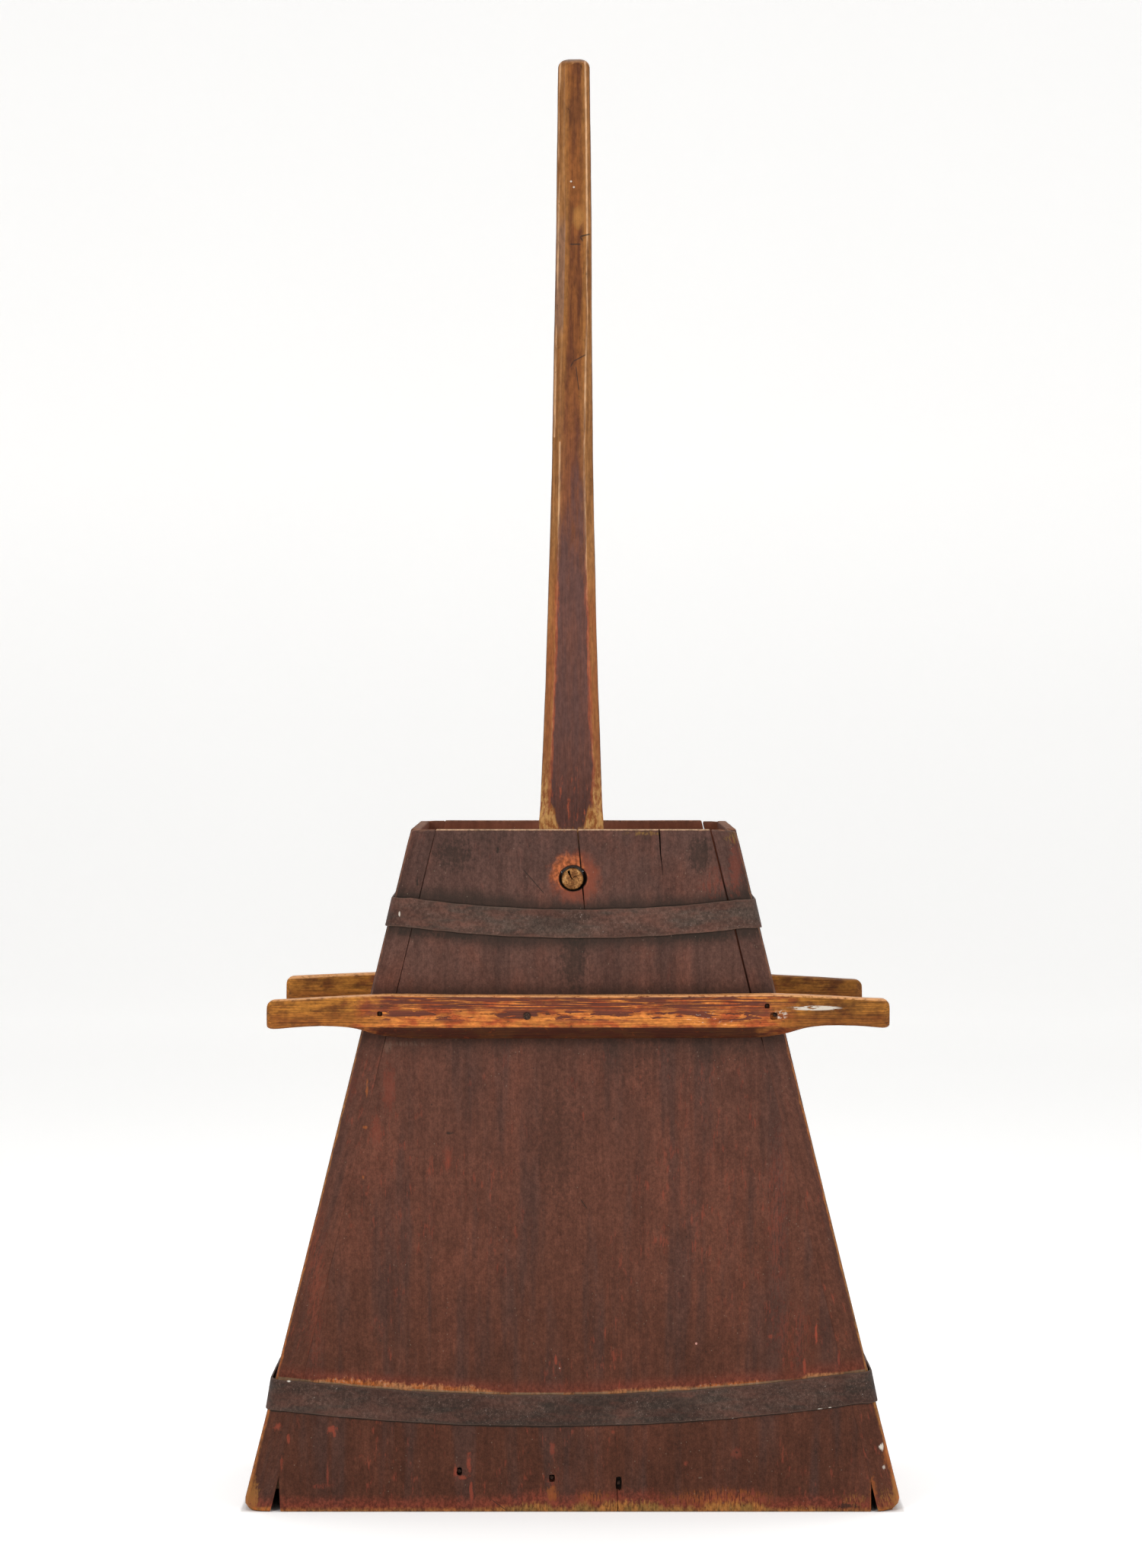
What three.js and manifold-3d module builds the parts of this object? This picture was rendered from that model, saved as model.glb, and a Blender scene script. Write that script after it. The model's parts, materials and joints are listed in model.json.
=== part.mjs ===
// Swing-lever churn: a tapered coopered vessel, two nailed carrying rails, two iron hoops,
// and a long lever that rocks on a wooden axle peg and drives a slatted dasher inside.
// Millimetres, +Z up. The origin is on the ground under the middle of the vessel; the front faces -Y.
import * as THREE from "three";
import { mergeVertices } from "three/addons/utils/BufferGeometryUtils.js";
import Module from "manifold-3d";

const wasm = await Module();
wasm.setup();

// ---- Driving dimensions ----
const GAP = 0.3; // clearance between pieces that touch on the real object
const OVERRUN = 5; // how far a cutting tool runs past the face that it cuts
const VESSEL = { baseWidth: 674, rimWidth: 332, depth: 296, height: 694, wall: 12, toeRadius: 9 };
const CORNER = { faceWidth: { left: 28, right: 24.5 }, sideWidth: 26, outerRadius: 17, innerRadius: 7 };
const RIM_BEVEL = { height: 12, width: 3 };
const MIDDLE_SEAM = { rimX: 4.5, drift: 0.087 }; // it leans to the right as it goes down
// At the foot, the outer edges of the boards leave the leaning staves at `top` and run down, `draft` inwards.
const WEDGE = { left: { top: 34, draft: 2 }, right: { top: 28, draft: 0 } };
const FLOOR = { bottom: 22, thickness: 26, grooveDepth: 4 };
const PIVOT_HEIGHT = 643.5;
const PEG = { radius: 11.2, length: 295 };
const PEG_HOLE = { radius: 13.4, x: 0.5, rise: 1.9 }; // worn wide, so the peg sits low in it
const RAIL = {
  frontX: 5, backX: 2, halfLength: 314.5, thickness: 22, top: 528, bottom: 484.4, chamfer: 9.5,
  chamferReach: 206, shoulder: 192, neck: 246, gripTop: 523, gripBottom: 496.5, endRadius: 7,
};
// `lift` is how far a hoop's upper edge stands off the wood at the two front corners.
const HOOPS = [
  {
    name: "upper_hoop",
    cornerHeight: 608,
    sag: 9,
    tilt: 0,
    lapStart: 40,
    lift: { left: 0.8, right: 0.8 },
  },
  {
    name: "lower_hoop",
    cornerHeight: 122.5,
    sag: 19,
    tilt: 3.75,
    lapStart: -30,
    lift: { left: 5.5, right: 3 },
  },
];
const STRAP = { width: 31.75, thickness: 2, cornerFade: 0.08, sideRise: 2, lap: 50, ramp: 15 };
const RIVET = { radius: 3, headRadius: 5.5, headHeight: 2.2, lapOffsets: [12, 38] };
const NAIL = {
  halfShank: 2, halfTip: 0.9, roseHalf: 4.6, roseHeight: 2.6, sunkHalf: 2.6, sunkHeight: 1.5, sunkDepth: 4,
};
const RAIL_NAILS = {
  length: 34,
  spots: [
    { tag: "left", x: -195, height: 508, sunk: true },
    { tag: "middle", x: -46, height: 506, sunk: false },
    { tag: "right_upper", x: 197, height: 516, sunk: true },
    { tag: "right_lower", x: 205, height: 507, sunk: true },
  ],
};
const FLOOR_NAILS = {
  length: 32,
  spots: [
    { tag: "left", x: -115, height: 41, sunk: true },
    { tag: "middle", x: -21, height: 34, sunk: true },
    { tag: "right", x: 47, height: 29, sunk: true },
  ],
};
const LEVER = [
  { height: 62, width: 44, thickness: 40, chamfer: 2 },
  { height: 400, width: 46, thickness: 40, chamfer: 2 },
  { height: 590, width: 66, thickness: 42, chamfer: 1.5 },
  { height: 700, width: 66, thickness: 42, chamfer: 1.5 },
  { height: 709, width: 64, thickness: 42, chamfer: 5 },
  { height: 722, width: 62.8, thickness: 42, chamfer: 9.5 },
  { height: 840, width: 55.4, thickness: 39, chamfer: 9.5 },
  { height: 1000, width: 47.4, thickness: 36, chamfer: 9.5 },
  { height: 1160, width: 41, thickness: 33, chamfer: 9.5 },
  { height: 1320, width: 36.2, thickness: 31, chamfer: 9.5 },
  { height: 1484, width: 32, thickness: 29, chamfer: 9.5 },
  { height: 1495, width: 27, thickness: 24, chamfer: 8 },
  { height: 1500, width: 16, thickness: 14, chamfer: 4.5 },
];
const DASHER = {
  slatHeights: [102, 172, 242, 312], slatHeight: 46, slatThickness: 14, slatLength: 244,
  stileY: 106, stileWidth: 22, stileThickness: 26, stileBottom: 68, stileTop: 346,
  pinRadius: 3.5, pinLength: 43,
};

// ---- Materials ----
const paintedWood = new THREE.MeshStandardMaterial({ color: 0x4f2f27, roughness: 0.72, metalness: 0 });
const wornPaint = new THREE.MeshStandardMaterial({ color: 0x9a4f24, roughness: 0.65, metalness: 0 });
const bareWood = new THREE.MeshStandardMaterial({ color: 0x9a6630, roughness: 0.6, metalness: 0 });
const innerWood = new THREE.MeshStandardMaterial({ color: 0x7d5a3a, roughness: 0.85, metalness: 0 });
const hoopIron = new THREE.MeshStandardMaterial({ color: 0x3f3431, roughness: 0.7, metalness: 0.6 });
const nailIron = new THREE.MeshStandardMaterial({ color: 0x2e2624, roughness: 0.8, metalness: 0.5 });

// ---- Solids: three.js makes the shapes, manifold-3d cuts them ----
function toSolid(geometry) {
  const bare = geometry.index ? geometry.toNonIndexed() : geometry.clone();
  bare.deleteAttribute("normal");
  bare.deleteAttribute("uv");
  const merged = mergeVertices(bare, 1e-4);
  return new wasm.Manifold(new wasm.Mesh({
    numProp: 3,
    vertProperties: merged.attributes.position.array,
    triVerts: new Uint32Array(merged.index.array),
  }));
}

function toGeometry(solid) {
  const mesh = solid.getMesh();
  const geometry = new THREE.BufferGeometry();
  geometry.setAttribute("position", new THREE.BufferAttribute(Float32Array.from(mesh.vertProperties), 3));
  geometry.setIndex(new THREE.BufferAttribute(Uint32Array.from(mesh.triVerts), 1));
  const faceted = geometry.toNonIndexed();
  faceted.computeVertexNormals();
  return faceted;
}

function cut(geometry, ...tools) {
  return toGeometry(tools.reduce((solid, tool) => solid.subtract(toSolid(tool)), toSolid(geometry)));
}

function meshOf(name, geometry, material) {
  const mesh = new THREE.Mesh(geometry, material);
  mesh.name = name;
  return mesh;
}

// A closed body through convex rings of points, each ring turning right-handed about the way it goes.
function loft(rings) {
  const n = rings[0].length;
  const index = [];
  for (let r = 0; r + 1 < rings.length; r++) {
    for (let i = 0; i < n; i++) {
      const a = r * n + i;
      const b = r * n + ((i + 1) % n);
      index.push(a, b, b + n, a, b + n, a + n);
    }
  }
  const last = (rings.length - 1) * n;
  for (let i = 1; i + 1 < n; i++) index.push(0, i + 1, i, last, last + i, last + i + 1);
  const geometry = new THREE.BufferGeometry().setFromPoints(rings.flat());
  geometry.setIndex(index);
  return geometry;
}

function box(x0, x1, y0, y1, z0, z1) {
  return new THREE.BoxGeometry(x1 - x0, y1 - y0, z1 - z0)
    .translate((x0 + x1) / 2, (y0 + y1) / 2, (z0 + z1) / 2);
}

// A shape drawn in x and height, made solid from yFront back to yBack.
function plate(shape, yFront, yBack) {
  return new THREE.ExtrudeGeometry(shape, { depth: yBack - yFront, bevelEnabled: false, curveSegments: 8 })
    .rotateX(Math.PI / 2)
    .translate(0, yBack, 0);
}

function polygon(points) {
  return new THREE.Shape(points.map(([x, y]) => new THREE.Vector2(x, y)));
}

// A mirrored copy, with its faces turned to point out again.
function mirrorX(geometry) {
  const copy = (geometry.index ? geometry.toNonIndexed() : geometry.clone()).scale(-1, 1, 1);
  const p = copy.getAttribute("position");
  for (let i = 0; i < p.count; i += 3) {
    const [x, y, z] = [p.getX(i + 1), p.getY(i + 1), p.getZ(i + 1)];
    p.setXYZ(i + 1, p.getX(i + 2), p.getY(i + 2), p.getZ(i + 2));
    p.setXYZ(i + 2, x, y, z);
  }
  return copy;
}

// ---- The vessel's shape: upright front and back faces, leaning sides ----
const slope = (VESSEL.baseWidth - VESSEL.rimWidth) / 2 / VESSEL.height;
const wallX = VESSEL.wall * Math.hypot(1, slope);
const outerY = VESSEL.depth / 2;
const halfWidth = (z) => VESSEL.baseWidth / 2 - slope * z;
const cornerSeamX = (tag, z) => halfWidth(z) - CORNER.faceWidth[tag];
const middleSeamX = (z) => MIDDLE_SEAM.rimX + MIDDLE_SEAM.drift * (VESSEL.height - z);

// The inside of the walls at a height, as a ring with rounded corners, grown outwards by `grow`.
function cavityRing(z, grow) {
  const radius = CORNER.innerRadius + grow;
  const flatX = halfWidth(z) - wallX - CORNER.innerRadius;
  const flatY = outerY - VESSEL.wall - CORNER.innerRadius;
  const steps = 5;
  const ring = [];
  [[1, 1], [-1, 1], [-1, -1], [1, -1]].forEach(([sx, sy], corner) => {
    for (let i = 0; i <= steps; i++) {
      const a = (corner + i / steps) * Math.PI / 2;
      ring.push(new THREE.Vector3(sx * flatX + radius * Math.cos(a), sy * flatY + radius * Math.sin(a), z));
    }
  });
  return ring;
}

function floorSolid(grow, clearance) {
  const top = FLOOR.bottom + FLOOR.thickness;
  return loft([cavityRing(FLOOR.bottom - clearance, grow), cavityRing(top + clearance, grow)]);
}

const floorGroove = floorSolid(FLOOR.grooveDepth + GAP, GAP);
const rimBevel = loft([
  cavityRing(VESSEL.height - RIM_BEVEL.height, 0.01),
  cavityRing(VESSEL.height + RIM_BEVEL.height, 2 * RIM_BEVEL.width),
]);

// What wear has taken off the foot of the right-hand leaning side.
function toeTool() {
  const r = VESSEL.toeRadius;
  const x = halfWidth(0);
  const shape = new THREE.Shape();
  shape.moveTo(halfWidth(r), r);
  shape.quadraticCurveTo(x, 0, x - r, 0);
  shape.lineTo(x - r, -OVERRUN);
  shape.lineTo(x + OVERRUN, -OVERRUN);
  shape.lineTo(x + OVERRUN, r);
  shape.closePath();
  return plate(shape, -outerY - OVERRUN, outerY + OVERRUN);
}

// ---- Nails: square wrought shanks, driven in along +Y ----
function squareRing(half, y) {
  return [[-half, -half], [-half, half], [half, half], [half, -half]]
    .map(([x, z]) => new THREE.Vector3(x, y, z));
}

function nailGeometry(length, sunk) {
  const half = sunk ? NAIL.sunkHalf : NAIL.roseHalf;
  const height = sunk ? NAIL.sunkHeight : NAIL.roseHeight;
  return loft([
    squareRing(half / 4, -height), squareRing(half, -height / 3), squareRing(half, 0),
    squareRing(NAIL.halfShank, 0), squareRing(NAIL.halfTip, length),
  ]);
}

// The hole of a nail driven in at yFace, with a well over a head that is sunk.
function nailHole(spot, length, yFace) {
  const square = (half, yEnd) => box(spot.x - half, spot.x + half, yFace - OVERRUN, yEnd,
    spot.height - half, spot.height + half);
  const shank = square(NAIL.halfShank + GAP, yFace + length + GAP);
  return spot.sunk ? [shank, square(NAIL.sunkHalf + GAP, yFace + NAIL.sunkDepth + GAP)] : [shank];
}

function placedNail(name, spot, length, yFace) {
  const inset = spot.sunk ? NAIL.sunkDepth : -GAP;
  const mesh = meshOf(name, nailGeometry(length - inset, spot.sunk), nailIron);
  mesh.position.set(spot.x, yFace + inset, spot.height);
  return mesh;
}

// ---- One long face: two boards, two corner staves, half the floor, a rail and its nails ----
function boardShape(tag, side) {
  const outer = (z, inset) => side * (cornerSeamX(tag, z) - GAP / 2 - inset);
  const inner = (z) => middleSeamX(z) + side * GAP / 2;
  const height = VESSEL.height;
  const wedge = WEDGE[tag];
  return polygon([[inner(0), 0], [inner(height), height], [outer(height, 0), height],
    [outer(wedge.top, 0), wedge.top], [outer(wedge.top, wedge.draft), 0]]);
}

// The hollowed corner stave at the right: an L with a rounded outer corner, leaning inwards.
function cornerStave(faceWidth) {
  const { outerRadius: ro, innerRadius: ri } = CORNER;
  const x = halfWidth(0);
  const faceLeg = faceWidth - GAP / 2;
  const sideLeg = CORNER.sideWidth - GAP / 2;
  const shape = new THREE.Shape();
  shape.moveTo(x - faceLeg, -outerY);
  shape.lineTo(x - ro, -outerY);
  shape.absarc(x - ro, -outerY + ro, ro, -Math.PI / 2, 0, false);
  shape.lineTo(x, -outerY + sideLeg);
  shape.lineTo(x - wallX, -outerY + sideLeg);
  shape.lineTo(x - wallX, -outerY + VESSEL.wall + ri);
  shape.absarc(x - wallX - ri, -outerY + VESSEL.wall + ri, ri, 0, -Math.PI / 2, true);
  shape.lineTo(x - faceLeg, -outerY + VESSEL.wall);
  shape.closePath();
  const lean = new THREE.Matrix4().makeShear(0, 0, 0, 0, -slope, 0);
  return new THREE.ExtrudeGeometry(shape, { depth: VESSEL.height, bevelEnabled: false, curveSegments: 6 })
    .applyMatrix4(lean);
}

// The rail's outline: a deep middle and slimmer grips, with an ogee under each shoulder.
function railShape() {
  const { shoulder, neck, top, bottom, gripTop, gripBottom, halfLength: end, endRadius: r } = RAIL;
  const bend = (shoulder + neck) / 2;
  const shape = new THREE.Shape();
  shape.moveTo(-shoulder, bottom);
  shape.lineTo(shoulder, bottom);
  shape.bezierCurveTo(bend, bottom, bend, gripBottom, neck, gripBottom);
  shape.lineTo(end - r, gripBottom);
  shape.quadraticCurveTo(end, gripBottom, end, gripBottom + r);
  shape.lineTo(end, gripTop - r);
  shape.quadraticCurveTo(end, gripTop, end - r, gripTop);
  shape.lineTo(shoulder, top);
  shape.lineTo(-shoulder, top);
  shape.lineTo(r - end, gripTop);
  shape.quadraticCurveTo(-end, gripTop, -end, gripTop - r);
  shape.lineTo(-end, gripBottom + r);
  shape.quadraticCurveTo(-end, gripBottom, r - end, gripBottom);
  shape.lineTo(-neck, gripBottom);
  shape.bezierCurveTo(-bend, gripBottom, -bend, bottom, -shoulder, bottom);
  return shape;
}

// The slanting cut along the rail's lower front edge, between the shoulders.
function railChamferTool(yFront) {
  const reach = RAIL.chamfer + OVERRUN;
  const section = (x) => [
    new THREE.Vector3(x, yFront - OVERRUN, RAIL.bottom - OVERRUN),
    new THREE.Vector3(x, yFront + reach, RAIL.bottom - OVERRUN),
    new THREE.Vector3(x, yFront - OVERRUN, RAIL.bottom + reach),
  ];
  return loft([section(-RAIL.chamferReach), section(RAIL.chamferReach)]);
}

// On the back face, which is turned round, the object's left is this face's right.
const turnedTag = {
  left: "right", right: "left", middle: "middle", right_upper: "left_upper", right_lower: "left_lower",
};

function faceAssembly(label, railX) {
  const face = new THREE.Group();
  const tagOf = (tag) => (label === "front" ? tag : turnedTag[tag]);
  const yInner = -outerY + VESSEL.wall;
  const railBack = -outerY - GAP;
  const railFront = railBack - RAIL.thickness;
  const railHoles = RAIL_NAILS.spots.flatMap((spot) => nailHole(spot, RAIL_NAILS.length - GAP, railFront));
  const floorHoles = FLOOR_NAILS.spots.flatMap((spot) => nailHole(spot, FLOOR_NAILS.length, -outerY));
  const pegHoleLength = 2 * VESSEL.wall + 2 * OVERRUN;
  const pegHole = new THREE.CylinderGeometry(PEG_HOLE.radius, PEG_HOLE.radius, pegHoleLength, 32)
    .translate(label === "front" ? PEG_HOLE.x : -PEG_HOLE.x, -outerY, PIVOT_HEIGHT + PEG_HOLE.rise);

  for (const [tag, side] of [["left", -1], ["right", 1]]) {
    const board = plate(boardShape(tag, side), -outerY, yInner);
    face.add(meshOf(`${label}_board_${tagOf(tag)}`,
      cut(board, floorGroove, rimBevel, pegHole, ...railHoles, ...floorHoles), paintedWood));
    const stave = cut(cornerStave(CORNER.faceWidth[tag]), floorGroove, rimBevel, toeTool());
    face.add(meshOf(`corner_stave_${label}_${tagOf(tag)}`,
      cut(side < 0 ? mirrorX(stave) : stave, ...railHoles), paintedWood));
  }

  const otherHalf = box(-VESSEL.baseWidth, VESSEL.baseWidth, -GAP / 2, VESSEL.depth, 0, VESSEL.height);
  face.add(meshOf(`floor_board_${label}`,
    cut(floorSolid(FLOOR.grooveDepth, 0), otherHalf, ...floorHoles), innerWood));

  const rail = cut(plate(railShape(), railFront, railBack), railChamferTool(railFront));
  face.add(meshOf(`${label}_rail`, cut(rail.translate(railX, 0, 0), ...railHoles), wornPaint));

  for (const spot of RAIL_NAILS.spots) {
    const name = `${label}_rail_nail_${tagOf(spot.tag)}`;
    face.add(placedNail(name, spot, RAIL_NAILS.length - 2 * GAP, railFront));
  }
  for (const spot of FLOOR_NAILS.spots) {
    const name = `${label}_floor_nail_${tagOf(spot.tag)}`;
    face.add(placedNail(name, spot, FLOOR_NAILS.length - GAP, -outerY));
  }
  return face;
}

// ---- The side boards, leaning, between the corner staves ----
function sideBoard(name) {
  const shape = polygon([[halfWidth(0) - wallX, 0], [halfWidth(0), 0],
    [halfWidth(VESSEL.height), VESSEL.height], [halfWidth(VESSEL.height) - wallX, VESSEL.height]]);
  const reach = outerY - CORNER.sideWidth - GAP / 2;
  return meshOf(name, cut(plate(shape, -reach, reach), floorGroove, rimBevel, toeTool()), paintedWood);
}

// ---- Hoops: straps driven down over the staves, sagging on the long faces, lapped at the back ----
// A station on the strap's way round: `cx` and `cy` run from -1 to 1 between the middles of the corner
// rounds, `angle` is the way out, and `lift` is how far the strap stands off the wood there.
function strapPoint({ cx, cy, angle }, z, offset) {
  const r = CORNER.outerRadius + offset;
  const flatX = halfWidth(z) - CORNER.outerRadius;
  const flatY = outerY - CORNER.outerRadius;
  return new THREE.Vector3(cx * flatX + r * Math.cos(angle), cy * flatY + r * Math.sin(angle), z);
}

function strapHeight(hoop, cx, cy) {
  return hoop.cornerHeight + hoop.tilt * cx - hoop.sag * (1 - cx * cx) + STRAP.sideRise * (1 - cy * cy);
}

function strapRing(hoop, station) {
  const z = strapHeight(hoop, station.cx, station.cy);
  const [low, high] = [z - STRAP.width / 2, z + STRAP.width / 2];
  const side = station.cx < 0 ? "left" : "right";
  const nearSide = Math.max(0, 1 - (1 - Math.abs(station.cx)) / STRAP.cornerFade);
  const frontness = (1 - station.cy) / 2;
  const inLow = GAP + station.lift;
  const inHigh = inLow + hoop.lift[side] * nearSide * frontness;
  return [
    strapPoint(station, low, inLow),
    strapPoint(station, low, inLow + STRAP.thickness),
    strapPoint(station, high, inHigh + STRAP.thickness),
    strapPoint(station, high, inHigh),
  ];
}

function strapGeometry(hoop) {
  const flat = halfWidth(hoop.cornerHeight) - CORNER.outerRadius;
  const quarter = Math.PI / 2;
  const stations = [];
  const run = (count, from, to) => {
    for (let i = 0; i < count; i++) {
      const f = i / count;
      stations.push({
        cx: from.cx + f * (to.cx - from.cx), cy: from.cy + f * (to.cy - from.cy),
        angle: from.angle + f * (to.angle - from.angle), lift: from.lift + f * (to.lift - from.lift),
      });
    }
  };
  const at = (cx, cy, turns, lift = 0) => ({ cx, cy, angle: quarter * (1 - turns), lift });
  const over = STRAP.thickness + GAP;
  const start = hoop.lapStart / flat;
  run(8, at(start, 1, 0), at(1, 1, 0));
  run(5, at(1, 1, 0), at(1, 1, 1));
  run(10, at(1, 1, 1), at(1, -1, 1));
  run(5, at(1, -1, 1), at(1, -1, 2));
  run(24, at(1, -1, 2), at(-1, -1, 2));
  run(5, at(-1, -1, 2), at(-1, -1, 3));
  run(10, at(-1, -1, 3), at(-1, 1, 3));
  run(5, at(-1, 1, 3), at(-1, 1, 4));
  run(8, at(-1, 1, 4), at(start - STRAP.ramp / flat, 1, 4));
  run(1, at(start - STRAP.ramp / flat, 1, 4), at(start, 1, 4, over));
  run(3, at(start, 1, 4, over), at(start + STRAP.lap / flat, 1, 4, over));
  stations.push(at(start + STRAP.lap / flat, 1, 4, over));
  return loft(stations.map((station) => strapRing(hoop, station)));
}

function rivetGeometry() {
  const neck = 2 * STRAP.thickness + 2 * GAP;
  const profile = [
    new THREE.Vector2(0, 0),
    new THREE.Vector2(RIVET.radius, 0),
    new THREE.Vector2(RIVET.radius, neck),
  ];
  const steps = 3;
  for (let i = 0; i < steps; i++) {
    const a = (i / steps) * Math.PI / 2;
    profile.push(new THREE.Vector2(RIVET.headRadius * Math.cos(a), neck + RIVET.headHeight * Math.sin(a)));
  }
  profile.push(new THREE.Vector2(0, neck + RIVET.headHeight));
  return new THREE.LatheGeometry(profile, 16);
}

function hoopAssembly(hoop) {
  const group = new THREE.Group();
  const flat = halfWidth(hoop.cornerHeight) - CORNER.outerRadius;
  const spots = RIVET.lapOffsets.map((offset) => {
    const x = hoop.lapStart + offset;
    return { x, z: strapHeight(hoop, x / flat, 1) };
  });
  const holeRadius = RIVET.radius + GAP;
  const holes = spots.map(({ x, z }) => new THREE.CylinderGeometry(holeRadius, holeRadius, 4 * OVERRUN, 16)
    .translate(x, outerY, z));
  group.add(meshOf(hoop.name, cut(strapGeometry(hoop), ...holes), hoopIron));
  spots.forEach(({ x, z }, i) => {
    const rivet = meshOf(`${hoop.name}_rivet_${i + 1}`, rivetGeometry(), nailIron);
    rivet.position.set(x, outerY + GAP, z);
    group.add(rivet);
  });
  return group;
}

// ---- The lever and its dasher, hung on the axle peg: built with the pivot as their own origin ----
function leverRing({ height, width, thickness, chamfer }) {
  const [x, y] = [width / 2, thickness / 2];
  const corners = [[x - chamfer, -y], [x, -y + chamfer], [x, y - chamfer], [x - chamfer, y],
    [chamfer - x, y], [-x, y - chamfer], [-x, -y + chamfer], [chamfer - x, -y]];
  return corners.map(([cornerX, cornerY]) => new THREE.Vector3(cornerX, cornerY, height - PIVOT_HEIGHT));
}

function slat(height, grow) {
  const [x, z] = [DASHER.slatThickness / 2 + grow, DASHER.slatHeight / 2 + grow];
  const y = DASHER.slatLength / 2 + OVERRUN * grow;
  const middle = height - PIVOT_HEIGHT;
  return box(-x, x, -y, y, middle - z, middle + z);
}

// A round bar along X, for the dasher's pins and their holes.
function crossBar(height, radius, length) {
  return new THREE.CylinderGeometry(radius, radius, length, 16)
    .rotateZ(Math.PI / 2)
    .translate(0, 0, height - PIVOT_HEIGHT);
}

function leverAssembly() {
  const { slatHeights, pinRadius, pinLength } = DASHER;
  const { stileY, stileWidth, stileThickness, stileBottom, stileTop } = DASHER;
  const group = new THREE.Group();
  group.position.z = PIVOT_HEIGHT;
  const mortises = slatHeights.map((height) => slat(height, GAP));
  const pinHoles = slatHeights.map((height) => crossBar(height, pinRadius + GAP, 2 * pinLength));
  const pegBore = new THREE.CylinderGeometry(PEG.radius + GAP, PEG.radius + GAP, 2 * PEG.length, 32);
  group.add(meshOf("lever", cut(loft(LEVER.map(leverRing)), pegBore, ...mortises, ...pinHoles), bareWood));
  group.add(meshOf("axle_peg", new THREE.CylinderGeometry(PEG.radius, PEG.radius, PEG.length, 32), bareWood));
  slatHeights.forEach((height, i) => {
    group.add(meshOf(`dasher_slat_${i + 1}`, cut(slat(height, 0), pinHoles[i]), innerWood));
    group.add(meshOf(`dasher_pin_${i + 1}`, crossBar(height, pinRadius, pinLength), innerWood));
  });
  for (const [name, y] of [["front", -stileY], ["back", stileY]]) {
    const stile = box(-stileThickness / 2, stileThickness / 2, y - stileWidth / 2, y + stileWidth / 2,
      stileBottom - PIVOT_HEIGHT, stileTop - PIVOT_HEIGHT);
    group.add(meshOf(`dasher_stile_${name}`, cut(stile, ...mortises), innerWood));
  }
  return group;
}

// ---- The whole churn ----
const churn = new THREE.Group();
churn.add(faceAssembly("front", RAIL.frontX));
const backFace = faceAssembly("back", -RAIL.backX);
backFace.rotation.z = Math.PI;
churn.add(backFace);
churn.add(sideBoard("side_board_right"));
const leftSide = sideBoard("side_board_left");
leftSide.rotation.z = Math.PI;
churn.add(leftSide);
HOOPS.forEach((hoop) => churn.add(hoopAssembly(hoop)));
churn.add(leverAssembly());

export default churn;
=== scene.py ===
"""Looks of the swing-lever churn: weathered wooden boards, rusted hoops, a hand-worn lever, built round the
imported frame. Shapes are worked out in millimetres in the row's frame and scaled to metres as meshes."""
import json
import math
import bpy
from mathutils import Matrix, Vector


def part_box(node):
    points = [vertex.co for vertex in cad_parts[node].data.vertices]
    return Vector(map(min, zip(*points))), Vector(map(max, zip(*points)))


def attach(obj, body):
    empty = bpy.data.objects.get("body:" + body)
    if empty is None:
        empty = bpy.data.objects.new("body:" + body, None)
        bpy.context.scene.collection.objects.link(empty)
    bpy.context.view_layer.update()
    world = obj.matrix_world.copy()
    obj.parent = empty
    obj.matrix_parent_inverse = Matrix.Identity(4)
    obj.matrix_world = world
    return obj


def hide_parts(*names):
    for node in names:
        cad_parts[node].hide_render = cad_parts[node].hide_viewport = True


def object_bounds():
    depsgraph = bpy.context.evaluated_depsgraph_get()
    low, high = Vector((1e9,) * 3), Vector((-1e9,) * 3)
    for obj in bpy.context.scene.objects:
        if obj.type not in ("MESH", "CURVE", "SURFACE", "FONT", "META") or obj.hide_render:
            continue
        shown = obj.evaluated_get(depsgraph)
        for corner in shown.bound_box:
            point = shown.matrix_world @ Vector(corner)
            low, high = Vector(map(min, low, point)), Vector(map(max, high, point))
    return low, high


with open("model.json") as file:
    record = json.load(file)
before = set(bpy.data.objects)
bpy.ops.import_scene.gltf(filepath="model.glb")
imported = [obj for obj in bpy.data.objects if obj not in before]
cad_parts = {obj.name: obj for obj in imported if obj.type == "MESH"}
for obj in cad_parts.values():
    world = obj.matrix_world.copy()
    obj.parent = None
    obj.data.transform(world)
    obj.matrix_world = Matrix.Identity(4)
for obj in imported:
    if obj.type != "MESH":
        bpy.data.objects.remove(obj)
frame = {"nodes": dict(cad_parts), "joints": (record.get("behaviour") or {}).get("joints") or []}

from types import SimpleNamespace

import bpy
import numpy as np
from mathutils import Vector, noise

cad_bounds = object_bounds()
MM = 0.001


def box_mm(node):
    low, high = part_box(node)
    return np.array(low) / MM, np.array(high) / MM


# ---- Driving dimensions, in millimetres ----
HEIGHT = box_mm("corner_stave_front_left")[1][2]
OUTER_Y = -box_mm("front_board_left")[0][1]
WALL = OUTER_Y + box_mm("front_board_left")[1][1]
BASE_HALF, RIM_HALF = 337.0, 166.0
SLOPE = (BASE_HALF - RIM_HALF) / HEIGHT
WALL_X = WALL * math.hypot(1, SLOPE)
SETTLE = 1.0  # how far the rim has settled to the right
TOE_RADIUS = {"left": 12.0, "right": 15.0}  # of the worn round at the foot of each leaning side
DRAWN_IN = 0.0028  # how far the boards have drawn in half way up, as a share of their width
RIM_BEVEL_HEIGHT, RIM_BEVEL = 12.0, 3.0
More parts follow.
